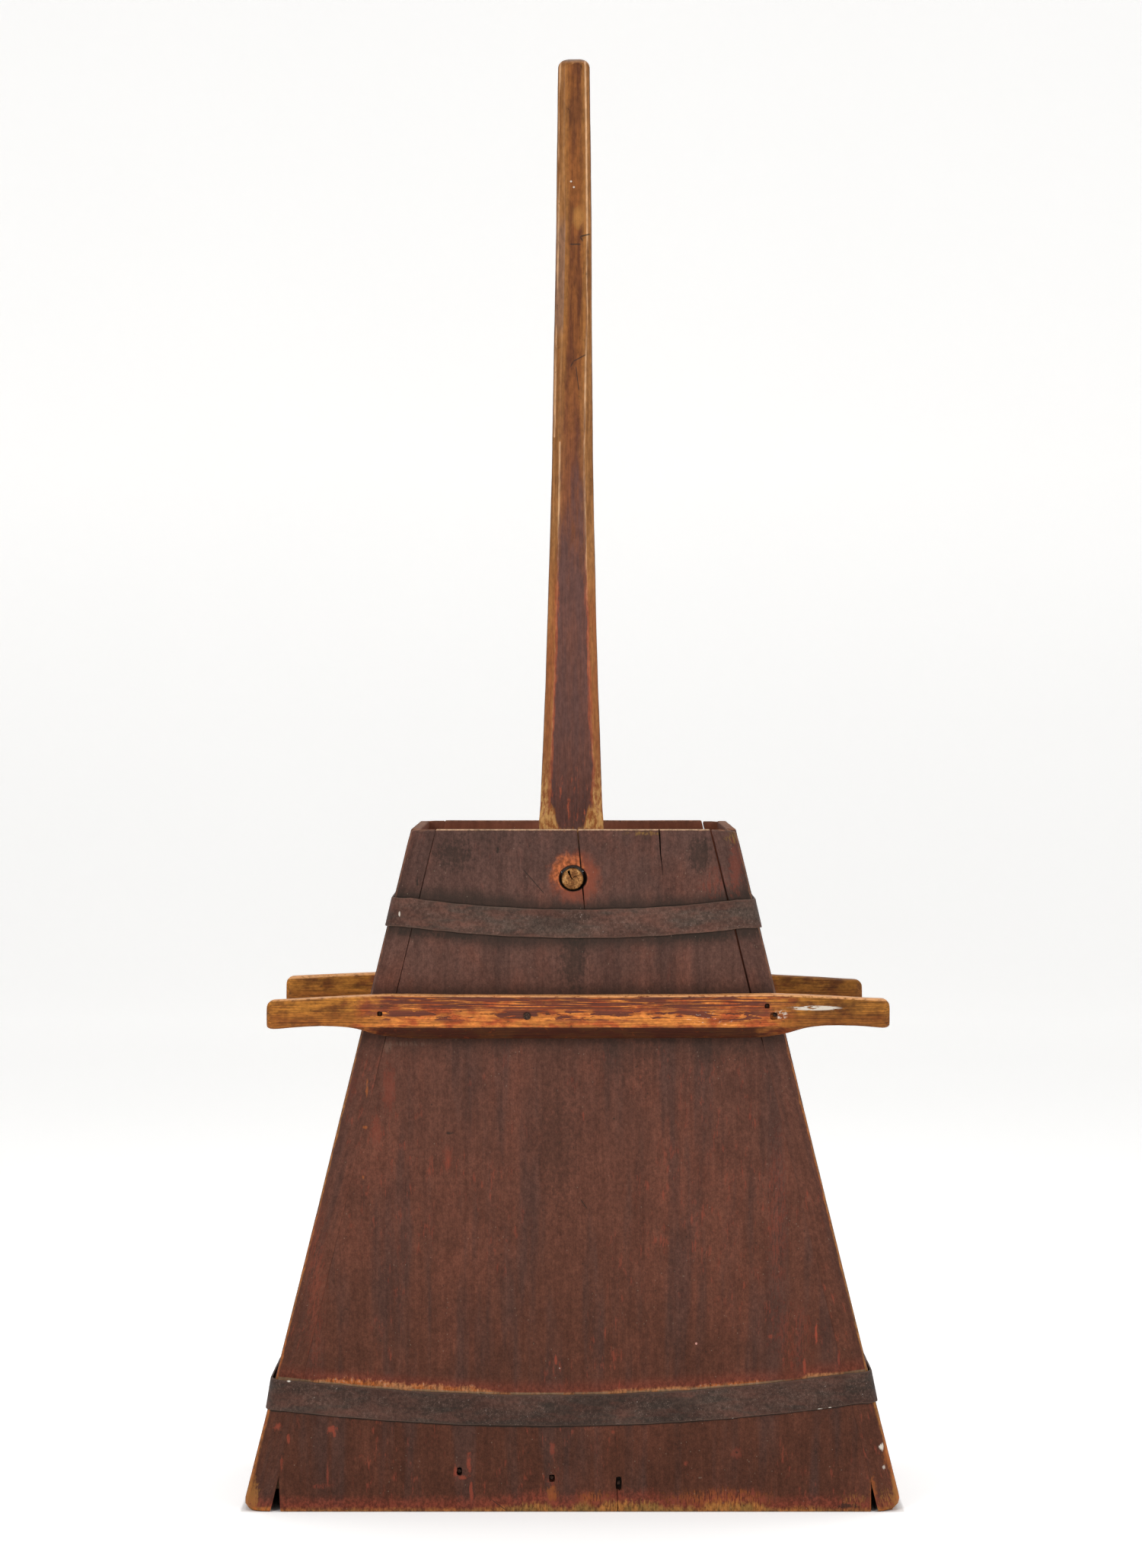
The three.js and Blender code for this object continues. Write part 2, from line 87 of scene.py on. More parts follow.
# Width of a corner stave on the long face, at its foot and at the rim.
FACE_WIDTH = {"left": (29.5, 25.9), "right": (25.8, 26.5)}
SIDE_WIDTH = 26.0
CORNER_RADIUS = 17.0
RIM_DUB = 2.6  # how far the rim is rubbed down at a corner
WORN_ANGLE = 25.0  # where a corner's round is worn most, in degrees forward of the leaning side
WEDGE = {"left": (34.5, 2.0), "right": (30.0, 0.0)}  # height of the open wedge at the foot, and its draft
SWING = next(joint for joint in frame["joints"] if joint["name"] == "lever_swing")
PIVOT = SWING["pos_m"][2] / MM
PEG_LOW, PEG_HIGH = box_mm("axle_peg")
LEVER_TOP = box_mm("lever")[1][2]
PEG_RADIUS = (PEG_HIGH[0] - PEG_LOW[0]) / 2
PEG_SUNK = 3.5  # the front end has worked back into its hole
HOLE_RADIUS, HOLE_SQUASH, HOLE_X, HOLE_RISE = 14.0, 0.93, 0.5, 0.7
RAIL_LOW, RAIL_HIGH = box_mm("front_rail")
HOOPS = {
    "upper_hoop": {"height": 609.0, "sag": 10.9, "tilt": -0.85, "width": 29.2, "lap_start": 40.0,
                   "lift": (0.8, 0.8)},
    "lower_hoop": {"height": 122.5, "sag": 19.0, "tilt": 3.75, "width": 31.75, "lap_start": -30.0,
                   "lift": (5.5, 3.0)},
}
STRAP_THICKNESS, STRAP_GAP, STRAP_FADE, SIDE_RISE = 2.0, 0.3, 0.08, 2.0
LAP, RAMP = 50.0, 15.0  # of a strap over its own start
RAIL_CHAMFER = 12.0
# Distance from the middle of a rail, and how far its top has dropped and its underside has risen there.
RAIL_DROP = [(0, 1.9), (120, 1.5), (195, 0.6), (218, 1.5), (248, 2.7), (276, 4.2), (318, 6.4)]
RAIL_RISE = [(0, -2.3), (150, -2.2), (180, -1.6), (190, -0.6), (197, 0.6), (204, 1.9), (213, 4.4),
             (220, 6.8), (227, 8.7), (236, 10.2), (248, 11.1), (262, 11.4), (278, 10.9), (292, 10.0),
             (306, 8.8), (320, 8.2)]
RAIL_TILT = {"front": 0.0018, "back": 0.0055}
BACK_GRIP_DROP = 0.8
FRONT_RAIL_SHIFT, FRONT_RAIL_SPARE = 0.7, 2.0  # to the right, and in length
CHIP_DEPTH, CHIP_REACH, CHIP_SIZE = 0.8, 3.0, 16.0  # of the dents in the corner staves' edges
CAD_LOW, CAD_HIGH = [np.array(corner) / MM for corner in cad_bounds]


# ---- Small geometry helpers ----
def half_width(z):
    return BASE_HALF - SLOPE * z


def clamp(value, low=0.0, high=1.0):
    return min(max(value, low), high)


def smooth(value):
    value = clamp(value)
    return value * value * (3 - 2 * value)


def arc(corner, back, ahead, cut, steps):
    """Points round a corner from `cut` before it to `cut` after it, for a convex or a hollow corner."""
    start = corner - back * cut
    turn = math.atan2(back[0] * ahead[1] - back[1] * ahead[0], back @ ahead)
    if abs(turn) < 1e-3:
        return [start + back * (2 * cut * k / steps) for k in range(steps + 1)]
    radius = cut / math.tan(turn / 2)
    centre = start + radius * np.array([-back[1], back[0]])
    points = []
    for k in range(steps + 1):
        angle = turn * k / steps
        c, s = math.cos(angle), math.sin(angle)
        dx, dy = start - centre
        points.append(centre + np.array([c * dx - s * dy, s * dx + c * dy]))
    return points


def outline(corners, cuts, arc_steps, side_steps):
    """A closed outline with rounded corners. Corner i has cuts[i]; side i runs from it to the next one."""
    corners = [np.array(c, float) for c in corners]
    count = len(corners)
    way = [corners[(i + 1) % count] - corners[i] for i in range(count)]
    way = [w / np.linalg.norm(w) for w in way]
    arcs = [arc(corners[i], way[i - 1], way[i], cuts[i], arc_steps[i]) for i in range(count)]
    points = []
    for i in range(count):
        points += arcs[i]
        here, there = arcs[i][-1], arcs[(i + 1) % count][0]
        for k in range(1, side_steps[i]):
            points.append(here + (there - here) * (k / side_steps[i]))
    return np.array(points)


def shrunk(corners, inset):
    """The corners of a counter-clockwise outline with every side moved inwards."""
    corners = [np.array(c, float) for c in corners]
    count = len(corners)
    moved = []
    for i in range(count):
        back = corners[i] - corners[i - 1]
        ahead = corners[(i + 1) % count] - corners[i]
        n1 = np.array([-back[1], back[0]]) / np.linalg.norm(back)
        n2 = np.array([-ahead[1], ahead[0]]) / np.linalg.norm(ahead)
        moved.append(corners[i] + (n1 + n2) * inset / (1 + n1 @ n2))
    return moved


def stations(length, step, end_radius, end_steps=3):
    """Distances along a piece with how far its section is drawn in there, so that both ends are rounded."""
    ends = [(end_radius * (1 - math.cos(a)), end_radius * (1 - math.sin(a)))
            for a in (math.pi / 2 * k / end_steps for k in range(end_steps))]
    inner = length - 2 * end_radius
    count = max(1, round(inner / step))
    middle = [(end_radius + inner * k / count, 0.0) for k in range(count + 1)]
    return ends + middle + [(length - d, inset) for d, inset in reversed(ends)]


def mesh_object(name, points, faces):
    mesh = bpy.data.meshes.new(name)
    mesh.from_pydata((np.asarray(points) * MM).tolist(), [], faces)
    mesh.update()
    made = bpy.data.objects.new(name, mesh)
    bpy.context.scene.collection.objects.link(made)
    return made


def loft(name, rings):
    """A closed mesh through rings that turn right-handed about the way they go."""
    n = len(rings[0])
    faces = []
    for r in range(len(rings) - 1):
        for i in range(n):
            a, b = r * n + i, r * n + (i + 1) % n
            faces.append((a, b, b + n, a + n))
    last = (len(rings) - 1) * n
    faces.append(tuple(reversed(range(n))))
    faces.append(tuple(range(last, last + n)))
    return mesh_object(name, np.concatenate(rings), faces)


def coords_mm(piece):
    flat = np.empty(len(piece.data.vertices) * 3, np.float32)
    piece.data.vertices.foreach_get("co", flat)
    return flat.reshape(-1, 3).astype(float) / MM


def set_coords_mm(piece, points):
    piece.data.vertices.foreach_set("co", (points * MM).astype(np.float32).ravel())
    piece.data.update()


def normals_of(piece):
    flat = np.empty(len(piece.data.vertices) * 3, np.float32)
    piece.data.vertex_normals.foreach_get("vector", flat)
    return flat.reshape(-1, 3).astype(float)


def wear(piece, seed, hollow=0.3, size=45.0, fine=0.12):
    """Moves a surface in and out by a small uneven amount, so that no face stays ruler-flat."""
    points = coords_mm(piece)
    offset = Vector((seed * 13.7, seed * 5.1, seed * 9.3))
    depth = np.empty(len(points))
    for i, p in enumerate(points):
        at = Vector(p)
        broad = noise.noise(Vector((at.x / size, at.y / size, at.z / (2 * size))) + offset)
        small = noise.noise(at / 9.0 + offset)
        depth[i] = hollow * broad + fine * small
    set_coords_mm(piece, np.clip(points - normals_of(piece) * depth[:, None] * 0.5, CAD_LOW, CAD_HIGH))


def chip(piece, edge_of, seed):
    """Takes small dents out of the edges of a piece, pressing them towards its inside."""
    points, normals = coords_mm(piece), normals_of(piece)
    offset = Vector((seed * 3.3, seed * 17.9, seed * 7.7))
    near = np.exp(-np.maximum(edge_of(points), 0) / CHIP_REACH)
    for i in np.nonzero(near > 0.1)[0]:
        strength = max(0.0, noise.noise(Vector(points[i]) / CHIP_SIZE + offset) - 0.05)
        points[i] -= normals[i] * CHIP_DEPTH * near[i] * strength * 2
    set_coords_mm(piece, np.clip(points, CAD_LOW, CAD_HIGH))


def round_noise(angle, reach, seed):
    """A smooth random number that closes on itself round a ring."""
    return noise.noise(Vector((reach * math.cos(angle), reach * math.sin(angle), seed)))


def ring_on_y(x, y, z, count, radius_at, first=0.0, squash=1.0):
    """A ring of points about a line along Y. `squash` is its height over its width."""
    ring = []
    for k in range(count):
        a = 2 * math.pi * (k + first) / count
        r = radius_at(a)
        ring.append((x + r * math.sin(a), y, z + squash * r * math.cos(a)))
    return np.array(ring)


def mark(piece, name, values):
    layer = piece.data.attributes.new(name, "FLOAT", "POINT")
    layer.data.foreach_set("value", np.asarray(values, np.float32))


def carve(piece, cutters):
    """Cuts holes in a piece and keeps the result as its mesh."""
    for cutter in cutters:
        step = piece.modifiers.new("cut", "BOOLEAN")
        step.operation = "DIFFERENCE"
        step.solver = "MANIFOLD"
        step.object = cutter
    graph = bpy.context.evaluated_depsgraph_get()
    mesh = bpy.data.meshes.new_from_object(piece.evaluated_get(graph), depsgraph=graph)
    piece.modifiers.clear()
    old = piece.data
    piece.data = mesh
    bpy.data.meshes.remove(old)


def discard(objects):
    for item in objects:
        bpy.data.objects.remove(item)


def finish_piece(piece, node, body, material, sharp=40):
    """Shades, paints and registers a piece that stands for a CAD node."""
    piece.data.shade_smooth()
    piece.data.set_sharp_from_angle(angle=math.radians(sharp))
    piece.data.materials.clear()
    piece.data.materials.append(material)
    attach(piece, body)
    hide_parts(node)


def turned(points):
    """Turned half round the upright axis, from the front face to the back one."""
    return points * np.array([-1.0, -1.0, 1.0])


def settled(points):
    """The vessel leans a little to the right towards its rim, and its sides have drawn in a little."""
    moved = np.array(points, float)
    up = np.clip(moved[:, 2] / HEIGHT, 0, 1)
    moved[:, 0] *= 1 - DRAWN_IN * np.sin(np.pi * up)
    moved[:, 0] += SETTLE * up
    return moved


# ---- Node materials ----
class Look:
    """A material being built. Each method adds a node and gives its output; sizes are in millimetres."""

    def __init__(self, name, lean=0.0):
        self.material = bpy.data.materials.new(name)
        self.material.use_nodes = True
        self.tree = self.material.node_tree
        self.surface = self.tree.nodes["Principled BSDF"]
        self.place = self.node("ShaderNodeTexCoord").outputs["Object"]
        split = self.node("ShaderNodeSeparateXYZ", Vector=self.place)
        self.x, self.y, self.z = [self.math("DIVIDE", axis, MM) for axis in split.outputs]
        across = self.line(self.z, lean, self.x) if lean else self.x
        self.grain_place = self.node("ShaderNodeCombineXYZ", X=across, Y=self.y, Z=self.z).outputs[0]

    def feed(self, socket, value):
        if isinstance(value, bpy.types.NodeSocket):
            self.tree.links.new(value, socket)
        elif hasattr(socket.default_value, "__len__") and len(socket.default_value) == 4:
            socket.default_value = (*value, 1.0)[:4]
        else:
            socket.default_value = value

    def node(self, kind, **inputs):
        made = self.tree.nodes.new(kind)
        for name, value in inputs.items():
            self.feed(made.inputs[name], value)
        return made

    def math(self, operation, *values):
        made = self.tree.nodes.new("ShaderNodeMath")
        made.operation = operation
        for socket, value in zip(made.inputs, values):
            self.feed(socket, value)
        return made.outputs[0]

    def spread(self, size, shift):
        """Where a point is in a pattern whose features are `size` long on each axis."""
        scale = tuple(1.0 / s for s in size)
        return self.node("ShaderNodeMapping", Vector=self.grain_place, Scale=scale, Location=shift).outputs[0]

    def noise(self, size, seed=0, detail=3.0, roughness=0.55):
        place = self.spread(size, (seed * 7.31, seed * 3.77, seed * 5.93))
        made = self.node("ShaderNodeTexNoise", Vector=place, Scale=1.0, Detail=detail, Roughness=roughness)
        return made.outputs["Fac"]

    def cells(self, size, seed):
        """The distance to the nearest of a field of random points, in cell widths."""
        place = self.spread(size, (seed * 2.17, seed * 8.31, seed * 4.43))
        return self.node("ShaderNodeTexVoronoi", Vector=place, Scale=1.0).outputs["Distance"]

    def attribute(self, name):
        made = self.tree.nodes.new("ShaderNodeAttribute")
        made.attribute_name = name
        return made.outputs["Fac"]

    def fade(self, value, zero, one):
        """0 at `zero`, 1 at `one`, and a smooth change between."""
        made = self.node("ShaderNodeMapRange")
        made.interpolation_type = "SMOOTHSTEP"
        flip = zero > one
        low, high = (one, zero) if flip else (zero, one)
        self.feed(made.inputs["Value"], value)
        self.feed(made.inputs["From Min"], low)
        self.feed(made.inputs["From Max"], high)
        self.feed(made.inputs["To Min"], 1.0 if flip else 0.0)
        self.feed(made.inputs["To Max"], 0.0 if flip else 1.0)
        return made.outputs[0]

    def fold(self, operation, values):
        result = values[0]
        for value in values[1:]:
            result = self.math(operation, result, value)
        return result

    def product(self, *values):
        return self.fold("MULTIPLY", values)

    def most(self, *values):
        return self.fold("MAXIMUM", values)

    def add(self, *values):
        return self.fold("ADD", values)

    def minus(self, first, second):
        return self.math("SUBTRACT", first, second)

    def size(self, value):
        return self.math("ABSOLUTE", value)

    def line(self, value, slope, start):
        """A straight line: `start` at 0, and `slope` more for each 1 of the value."""
        return self.math("MULTIPLY_ADD", value, slope, start)

    def swing(self, value, amount):
        """A noise turned into a length that swings round zero."""
        return self.math("MULTIPLY", self.minus(value, 0.5), amount)

    def mix(self, amount, first, second):
        made = self.tree.nodes.new("ShaderNodeMix")
        made.data_type = "RGBA"
        self.feed(made.inputs[0], amount)
        self.feed(made.inputs[6], first)
        self.feed(made.inputs[7], second)
        return made.outputs[2]

    def lay(self, colour, tint, *amounts):
        """The colour with a tint laid over it, as thick as the product of the amounts."""
        return self.mix(self.product(*amounts), colour, tint)

    def shade(self, colour, low, high, value):
        """The colour times a brightness that goes from `low` to `high` as the value goes from 0 to 1."""
        factor = self.line(value, high - low, low)
        made = self.tree.nodes.new("ShaderNodeVectorMath")
        made.operation = "SCALE"
        self.feed(made.inputs[0], colour)
        self.feed(made.inputs["Scale"], factor)
        return made.outputs[0]

    def ramp(self, value, stops):
        """A colour that changes with a value, through (value, colour) stops."""
        low, high = stops[0][0], stops[-1][0]
        made = self.tree.nodes.new("ShaderNodeValToRGB")
        self.feed(made.inputs[0], self.math("DIVIDE", self.minus(value, low), high - low))
        elements = made.color_ramp.elements
        while len(elements) < len(stops):
            elements.new(0.5)
        for element, (at, colour) in zip(elements, stops):
            element.position = (at - low) / (high - low)
            element.color = (*colour, 1.0)
        return made.outputs[0]

    def off(self, value, centre):
        return self.size(self.minus(value, centre))

    def away(self, x, z, wide=1.0, tall=1.0):
        """How far a point of the long face is from (x, z), in widths across and heights up."""
        across = self.math("DIVIDE", self.minus(self.x, x), wide)
        up = self.math("DIVIDE", self.minus(self.z, z), tall)
        return self.math("SQRT", self.add(self.math("POWER", across, 2.0), self.math("POWER", up, 2.0)))

    def stroke(self, start, end, width):
        """A straight scratch between two points of the long face, tapering at its ends."""
        (x0, z0), (x1, z1) = start, end
        length = math.hypot(x1 - x0, z1 - z0)
        ux, uz = (x1 - x0) / length, (z1 - z0) / length
        dx, dz = self.minus(self.x, x0), self.minus(self.z, z0)
        along = self.add(self.product(dx, ux), self.product(dz, uz))
        aside = self.size(self.minus(self.product(dz, ux), self.product(dx, uz)))
        inside = self.product(self.fade(along, -1.0, 2.0), self.fade(along, length + 1.0, length - 2.0))
        return self.product(inside, self.fade(aside, width, width * 0.3))

    def bump(self, height, distance, normal=None):
        made = self.node("ShaderNodeBump", Height=height, Distance=distance * MM, Strength=1.0)
        if normal is not None:
            self.feed(made.inputs["Normal"], normal)
        return made.outputs[0]

    def finish(self, colour, roughness, normal, specular):
        self.feed(self.surface.inputs["Base Color"], colour)
        self.feed(self.surface.inputs["Roughness"], roughness)
        self.feed(self.surface.inputs["Normal"], normal)
        self.surface.inputs["Specular IOR Level"].default_value = specular
        return self.material


BRIGHT_RED = (0.270, 0.054, 0.030)
ORANGE = (0.400, 0.115, 0.026)
HONEY = (0.350, 0.145, 0.036)
OLIVE = (0.230, 0.125, 0.034)
TAN = (0.400, 0.175, 0.070)
DUST = (0.300, 0.225, 0.165)
CHALK = (0.620, 0.560, 0.480)
GRIME_AND_SHADE = (0.022, 0.017, 0.013)
# The paint's colour at a height.
PAINT_BY_HEIGHT = [(0, (0.068, 0.0234, 0.0130)), (120, (0.073, 0.0258, 0.0150)),
                   (230, (0.092, 0.0330, 0.0200)), (340, (0.100, 0.0368, 0.0234)),
                   (470, (0.091, 0.0370, 0.0252)), (560, (0.096, 0.0455, 0.0340)),
                   (694, (0.080, 0.0405, 0.0320))]
# Marks on the front: colour and strength, then the middle, half width and half height of each.
FRONT_MARKS = [
    (BRIGHT_RED, 0.90, [(248, 180, 1.6, 10)]),
    (BRIGHT_RED, 0.65, [(-300, 86, 4, 4), (-289, 74, 2, 6), (-245, 84, 5, 4), (-242, 79, 2, 4),
                        (236, 148, 1.6, 8), (-105, 49, 2.5, 11), (-103, 21, 2, 13), (-119, 41, 2, 7),
                        (-112, 35, 4, 2.5), (-17, 154, 1.4, 5)]),
    (BRIGHT_RED, 0.45, [(-315, 88, 4, 3), (-255, 26, 12, 3), (-296, 48, 1.6, 8), (-249, 38, 1.4, 13),
                        (-20, 30, 9, 6), (-21, 64, 3, 7), (271, 156, 1.5, 8), (201, 178, 3, 3),
                        (41, 81, 2, 2), (115, 49, 2.5, 3)]),
    (BRIGHT_RED, 0.28, [(167, 60, 6, 6), (225, 180, 26, 36), (208, 300, 12, 100), (-262, 250, 12, 140),
                        (-127, 360, 5, 14), (-199, 388, 6, 18), (-187, 430, 7, 26),
                        (-228, 440, 9, 26), (-198, 655, 8, 16), (146, 640, 18, 18), (166, 655, 7, 30)]),
    ((0.600, 0.300, 0.250), 0.90, [(126, 171, 1.2, 1.2)]),
    (OLIVE, 0.70, [(164, 686, 9, 8), (70, 690, 20, 2.5), (-334, 40, 5, 36)]),
    (HONEY, 0.60, [(330, 24, 5, 30), (322, 12, 11, 12), (286, 11, 12, 8), (-326, 14, 7, 18)]),
    (ORANGE, 0.45, [(-209, 430, 1.2, 10), (-211, 391, 2.4, 1.5), (-213, 340, 1.2, 2)]),
    (ORANGE, 0.40, [(-21, 18, 6, 9), (20, 14, 18, 8), (306, 18, 4, 18), (320, 60, 4, 16), (150, 14, 60, 11)]),
    (CHALK, 1.00, [(314.5, 65.5, 2.4, 4)]),
    (CHALK, 0.60, [(317, 45, 1.6, 2.4), (-13, 146, 1.0, 0.7)]),
    (DUST, 0.24, [(130, 34.6, 2.4, 0.9)]),
    ((0.200, 0.120, 0.085), 0.30, [(-160, 476, 25, 3), (-188, 473, 5, 6)]),
    (GRIME_AND_SHADE, 0.75, [(-125, 385, 4, 1.2), (279, 6, 10, 3), (42, 400, 1.4, 1.4), (-76, 672, 1.6, 4),
                   (167, 60.5, 2, 1.6), (-158, 640, 1.4, 5)]),
    (GRIME_AND_SHADE, 0.50, [(130, 668, 12, 20), (0, 562, 14, 34), (-158, 590, 22, 6), (-120, 586, 24, 4),
                   (128, 586, 34, 5), (-120, 668, 20, 16)]),
    (GRIME_AND_SHADE, 0.20, [(-88, 690, 22, 20), (60, 460, 34, 26), (-16, 370, 22, 60), (150, 470, 30, 16)]),
]
FRONT_SCRATCHES = [((-50, 653), (-29, 629), 0.8), ((8, 318), (15, 308), 0.8), ((-82, 12), (-68, 2), 0.7)]
# The lever's cracks and dents: from, to, half width.
LEVER_CRACKS = [((19, 1315), (8, 1312), 1.2), ((8, 1312), (11, 1307), 1.0), ((-3, 1304), (9, 1304), 1.0),
                ((14, 1188), (1, 1181), 0.9), ((1, 1181), (-2, 1175), 0.8), ((3.6, 1176), (6.8, 1150), 0.7)]
# White drips on the hoops: middle, half width and half height.
HOOP_DRIPS = [(199, 97, 2.4, 1.2), (252, 104.5, 3.0, 1.0), (262, 106, 1.6, 0.9), (163, 95, 1.2, 0.8),
              (-288, 134, 2.0, 1.0), (-176, 608, 1.0, 2.6)]


def above_hoop(look, hoop):
    """How far a point of a long face lies above the middle line of a hoop, in millimetres."""
    flat = half_width(hoop["height"]) - CORNER_RADIUS
    u = look.math("DIVIDE", look.x, flat)
    bow = look.minus(1.0, look.math("MINIMUM", look.math("POWER", u, 2.0), 1.0))
    line = look.add(look.product(bow, -hoop["sag"]), look.product(u, hoop["tilt"]))
    return look.minus(look.z, look.add(line, hoop["height"]))


def paint_grain(look):
    """The patterns that the paint's colour and wear are built from."""
    return SimpleNamespace(
        fibre=look.noise((0.8, 0.8, 26), 1, 3.0),
        streak=look.noise((6, 6, 110), 2, 4.0),
        band=look.noise((22, 22, 230), 3, 3.0),
        cloud=look.noise((60, 60, 90), 4, 5.0, 0.6),
        fleck=look.noise((4, 4, 5), 5, 5.0, 0.65),
        mottle=look.noise((13, 13, 22), 14, 4.0, 0.6),
        grit=look.noise((1.3, 1.3, 1.6), 12, 3.0, 0.6),
        tufts=look.noise((1.6, 1.6, 10), 8, 5.0, 0.7),
        along=look.noise((38, 38, 400), 10, 3.0),
    )


def old_paint(look, grain, lean):
    """Dull red by height, with clouds, bands and small rubs in it, and what is behind the outer faces."""
    colour = look.ramp(look.z, PAINT_BY_HEIGHT)
    colour = look.lay(colour, (0.155, 0.050, 0.030), look.fade(grain.cloud, 0.45, 0.68), 0.35)
    colour = look.lay(colour, (0.056, 0.029, 0.023), look.fade(grain.band, 0.46, 0.66), 0.60)
    colour = look.shade(colour, 0.88, 1.12, look.fade(grain.streak, 0.25, 0.75))
    colour = look.shade(colour, 0.93, 1.07, look.fade(grain.fibre, 0.25, 0.75))
    for low, high, pattern in ((0.89, 1.12, grain.mottle), (0.80, 1.20, grain.fleck),
                               (0.85, 1.16, grain.grit)):
        colour = look.shade(colour, low, high, look.fade(pattern, 0.3, 0.7))

    inner = look.fade(look.size(look.y), OUTER_Y - 7, OUTER_Y - 11)
    if lean:
        flush = look.size(look.line(look.z, lean, look.x))
        inner = look.product(inner, look.fade(flush, BASE_HALF - 7, BASE_HALF - 11))
    colour = look.lay(colour, look.shade((0.190, 0.058, 0.028), 0.6, 1.4, grain.streak), inner, 0.85)
    if not lean:
        # The boards' joint faces, seen only through the open joints, are painted black as shade.
        depth = look.minus(OUTER_Y, look.size(look.y))
        joint = look.product(look.fade(depth, 0.6, 1.4),
                             look.fade(depth, WALL - RIM_BEVEL - 0.4, WALL - RIM_BEVEL - 1.4),
                             look.fade(look.z, HEIGHT - 3, HEIGHT - 6))
        colour = look.mix(joint, colour, (0.010, 0.007, 0.005))

    # Small vertical rubs where a brighter red shows, fewer above the rail.
    rub = look.noise((4, 4, 16), 6, 5.0, 0.65)
    where = look.noise((80, 80, 120), 7, 3.0)
    return look.lay(colour, BRIGHT_RED, look.fade(rub, 0.56, 0.70), look.fade(where, 0.46, 0.60),
                    look.line(look.fade(look.z, 500, 420), 0.38, 0.08))


def gathered_dirt_and_shade(look, grain, colour, from_upper, from_lower):
    """Dark grime, partly painted shade, along the upper hoop and round the rail, and painted contact shadows
    at the hoops' edges.
    """
    half_upper, half_lower = HOOPS["upper_hoop"]["width"] / 2, HOOPS["lower_hoop"]["width"] / 2
    ragged = look.swing(grain.cloud, 26.0)
    upper_dirt_and_shade = look.fade(look.add(look.size(from_upper), ragged), half_upper + 18, half_upper + 1)
    rail_dirt_and_shade = look.product(look.fade(look.add(look.z, ragged), RAIL_LOW[2] - 30, RAIL_LOW[2] + 6),
                             look.fade(look.z, RAIL_HIGH[2] + 14, RAIL_HIGH[2] - 2))
    above_upper = look.minus(from_upper, half_upper)
    under_upper = look.minus(look.product(from_upper, -1.0), half_upper)
    under_lower = look.minus(look.product(from_lower, -1.0), half_lower)
    # Painted contact shadows: thin dark lines just outside the hoops' edges.
    contact_shadow = look.most(*[look.product(look.fade(look.add(gap, look.swing(grain.mottle, 2.5)), 2.4, 0.6),
                                       look.fade(gap, -6.0, -2.0))
                          for gap in (above_upper, under_upper, under_lower)])
    dirt_and_shade = look.most(look.product(upper_dirt_and_shade, 0.72), look.product(rail_dirt_and_shade, 0.50),
                     look.product(contact_shadow, 0.85))
    return look.mix(dirt_and_shade, colour, GRIME_AND_SHADE)


def bare_foot(look, grain, colour, height):
    """Bare wood along the foot and where the lower hoop has scraped down, with red glowing round it."""
    fleck, mottle, tufts, along = grain.fleck, grain.mottle, grain.tufts, grain.along
    rich = look.product(look.fade(look.off(look.x, 85.0), 190.0, 110.0), look.fade(along, 0.30, 0.55))
    foot_top = look.line(rich, 7.0, 1.5)
    fringe = look.add(look.product(look.swing(tufts, 22.0), look.line(rich, 0.8, 0.2)),
                      look.swing(fleck, 8.0))
    foot = look.minus(look.minus(look.z, foot_top), fringe)
    foot_wear = look.fade(foot, 4.5, -3.5)
    foot_glow = look.product(look.fade(look.minus(foot, 7.0), 11.0, -3.0), 0.55)

    left_zone = look.fade(look.off(look.x, -173.0), 112.0, 60.0)
    right_zone = look.product(look.fade(look.off(look.x, 150.0), 150.0, 90.0), 0.50)
    scraped = look.product(look.most(left_zone, right_zone, 0.16), look.fade(along, 0.25, 0.5))
    frayed = look.add(look.swing(tufts, 4.0), look.swing(fleck, 13.0))
    scrape_top = look.add(look.product(scraped, 7.0), look.product(frayed, scraped))
    above = look.fade(height, -5.0, -1.0)
    scrape = look.product(look.fade(look.minus(height, scrape_top), 2.2, -2.2), above)
    glow = look.product(look.fade(look.add(height, look.swing(fleck, 16.0)), 19.0, 2.0), above,
                        look.line(scraped, 0.5, 0.4))

    bare = look.mix(look.fade(mottle, 0.42, 0.62), TAN, look.mix(look.fade(fleck, 0.52, 0.72), ORANGE, DUST))
    bare = look.mix(look.fade(look.z, 60.0, 30.0), bare, look.mix(look.fade(mottle, 0.4, 0.6), HONEY, OLIVE))
    bare = look.shade(bare, 0.45, 1.15, look.fade(look.add(tufts, fleck), 0.80, 1.16))
    glowing = look.shade(BRIGHT_RED, 0.45, 1.05, look.fade(fleck, 0.35, 0.65))
    colour = look.mix(look.most(look.product(glow, 0.75), foot_glow), colour, glowing)
    colour = look.lay(colour, bare, look.most(foot_wear, scrape), 0.85)
    dusty = look.product(look.fade(height, 2.6, 1.2), above, look.fade(mottle, 0.36, 0.5))
    return look.lay(colour, look.shade((0.210, 0.150, 0.090), 0.5, 1.3, fleck), dusty, 0.7)


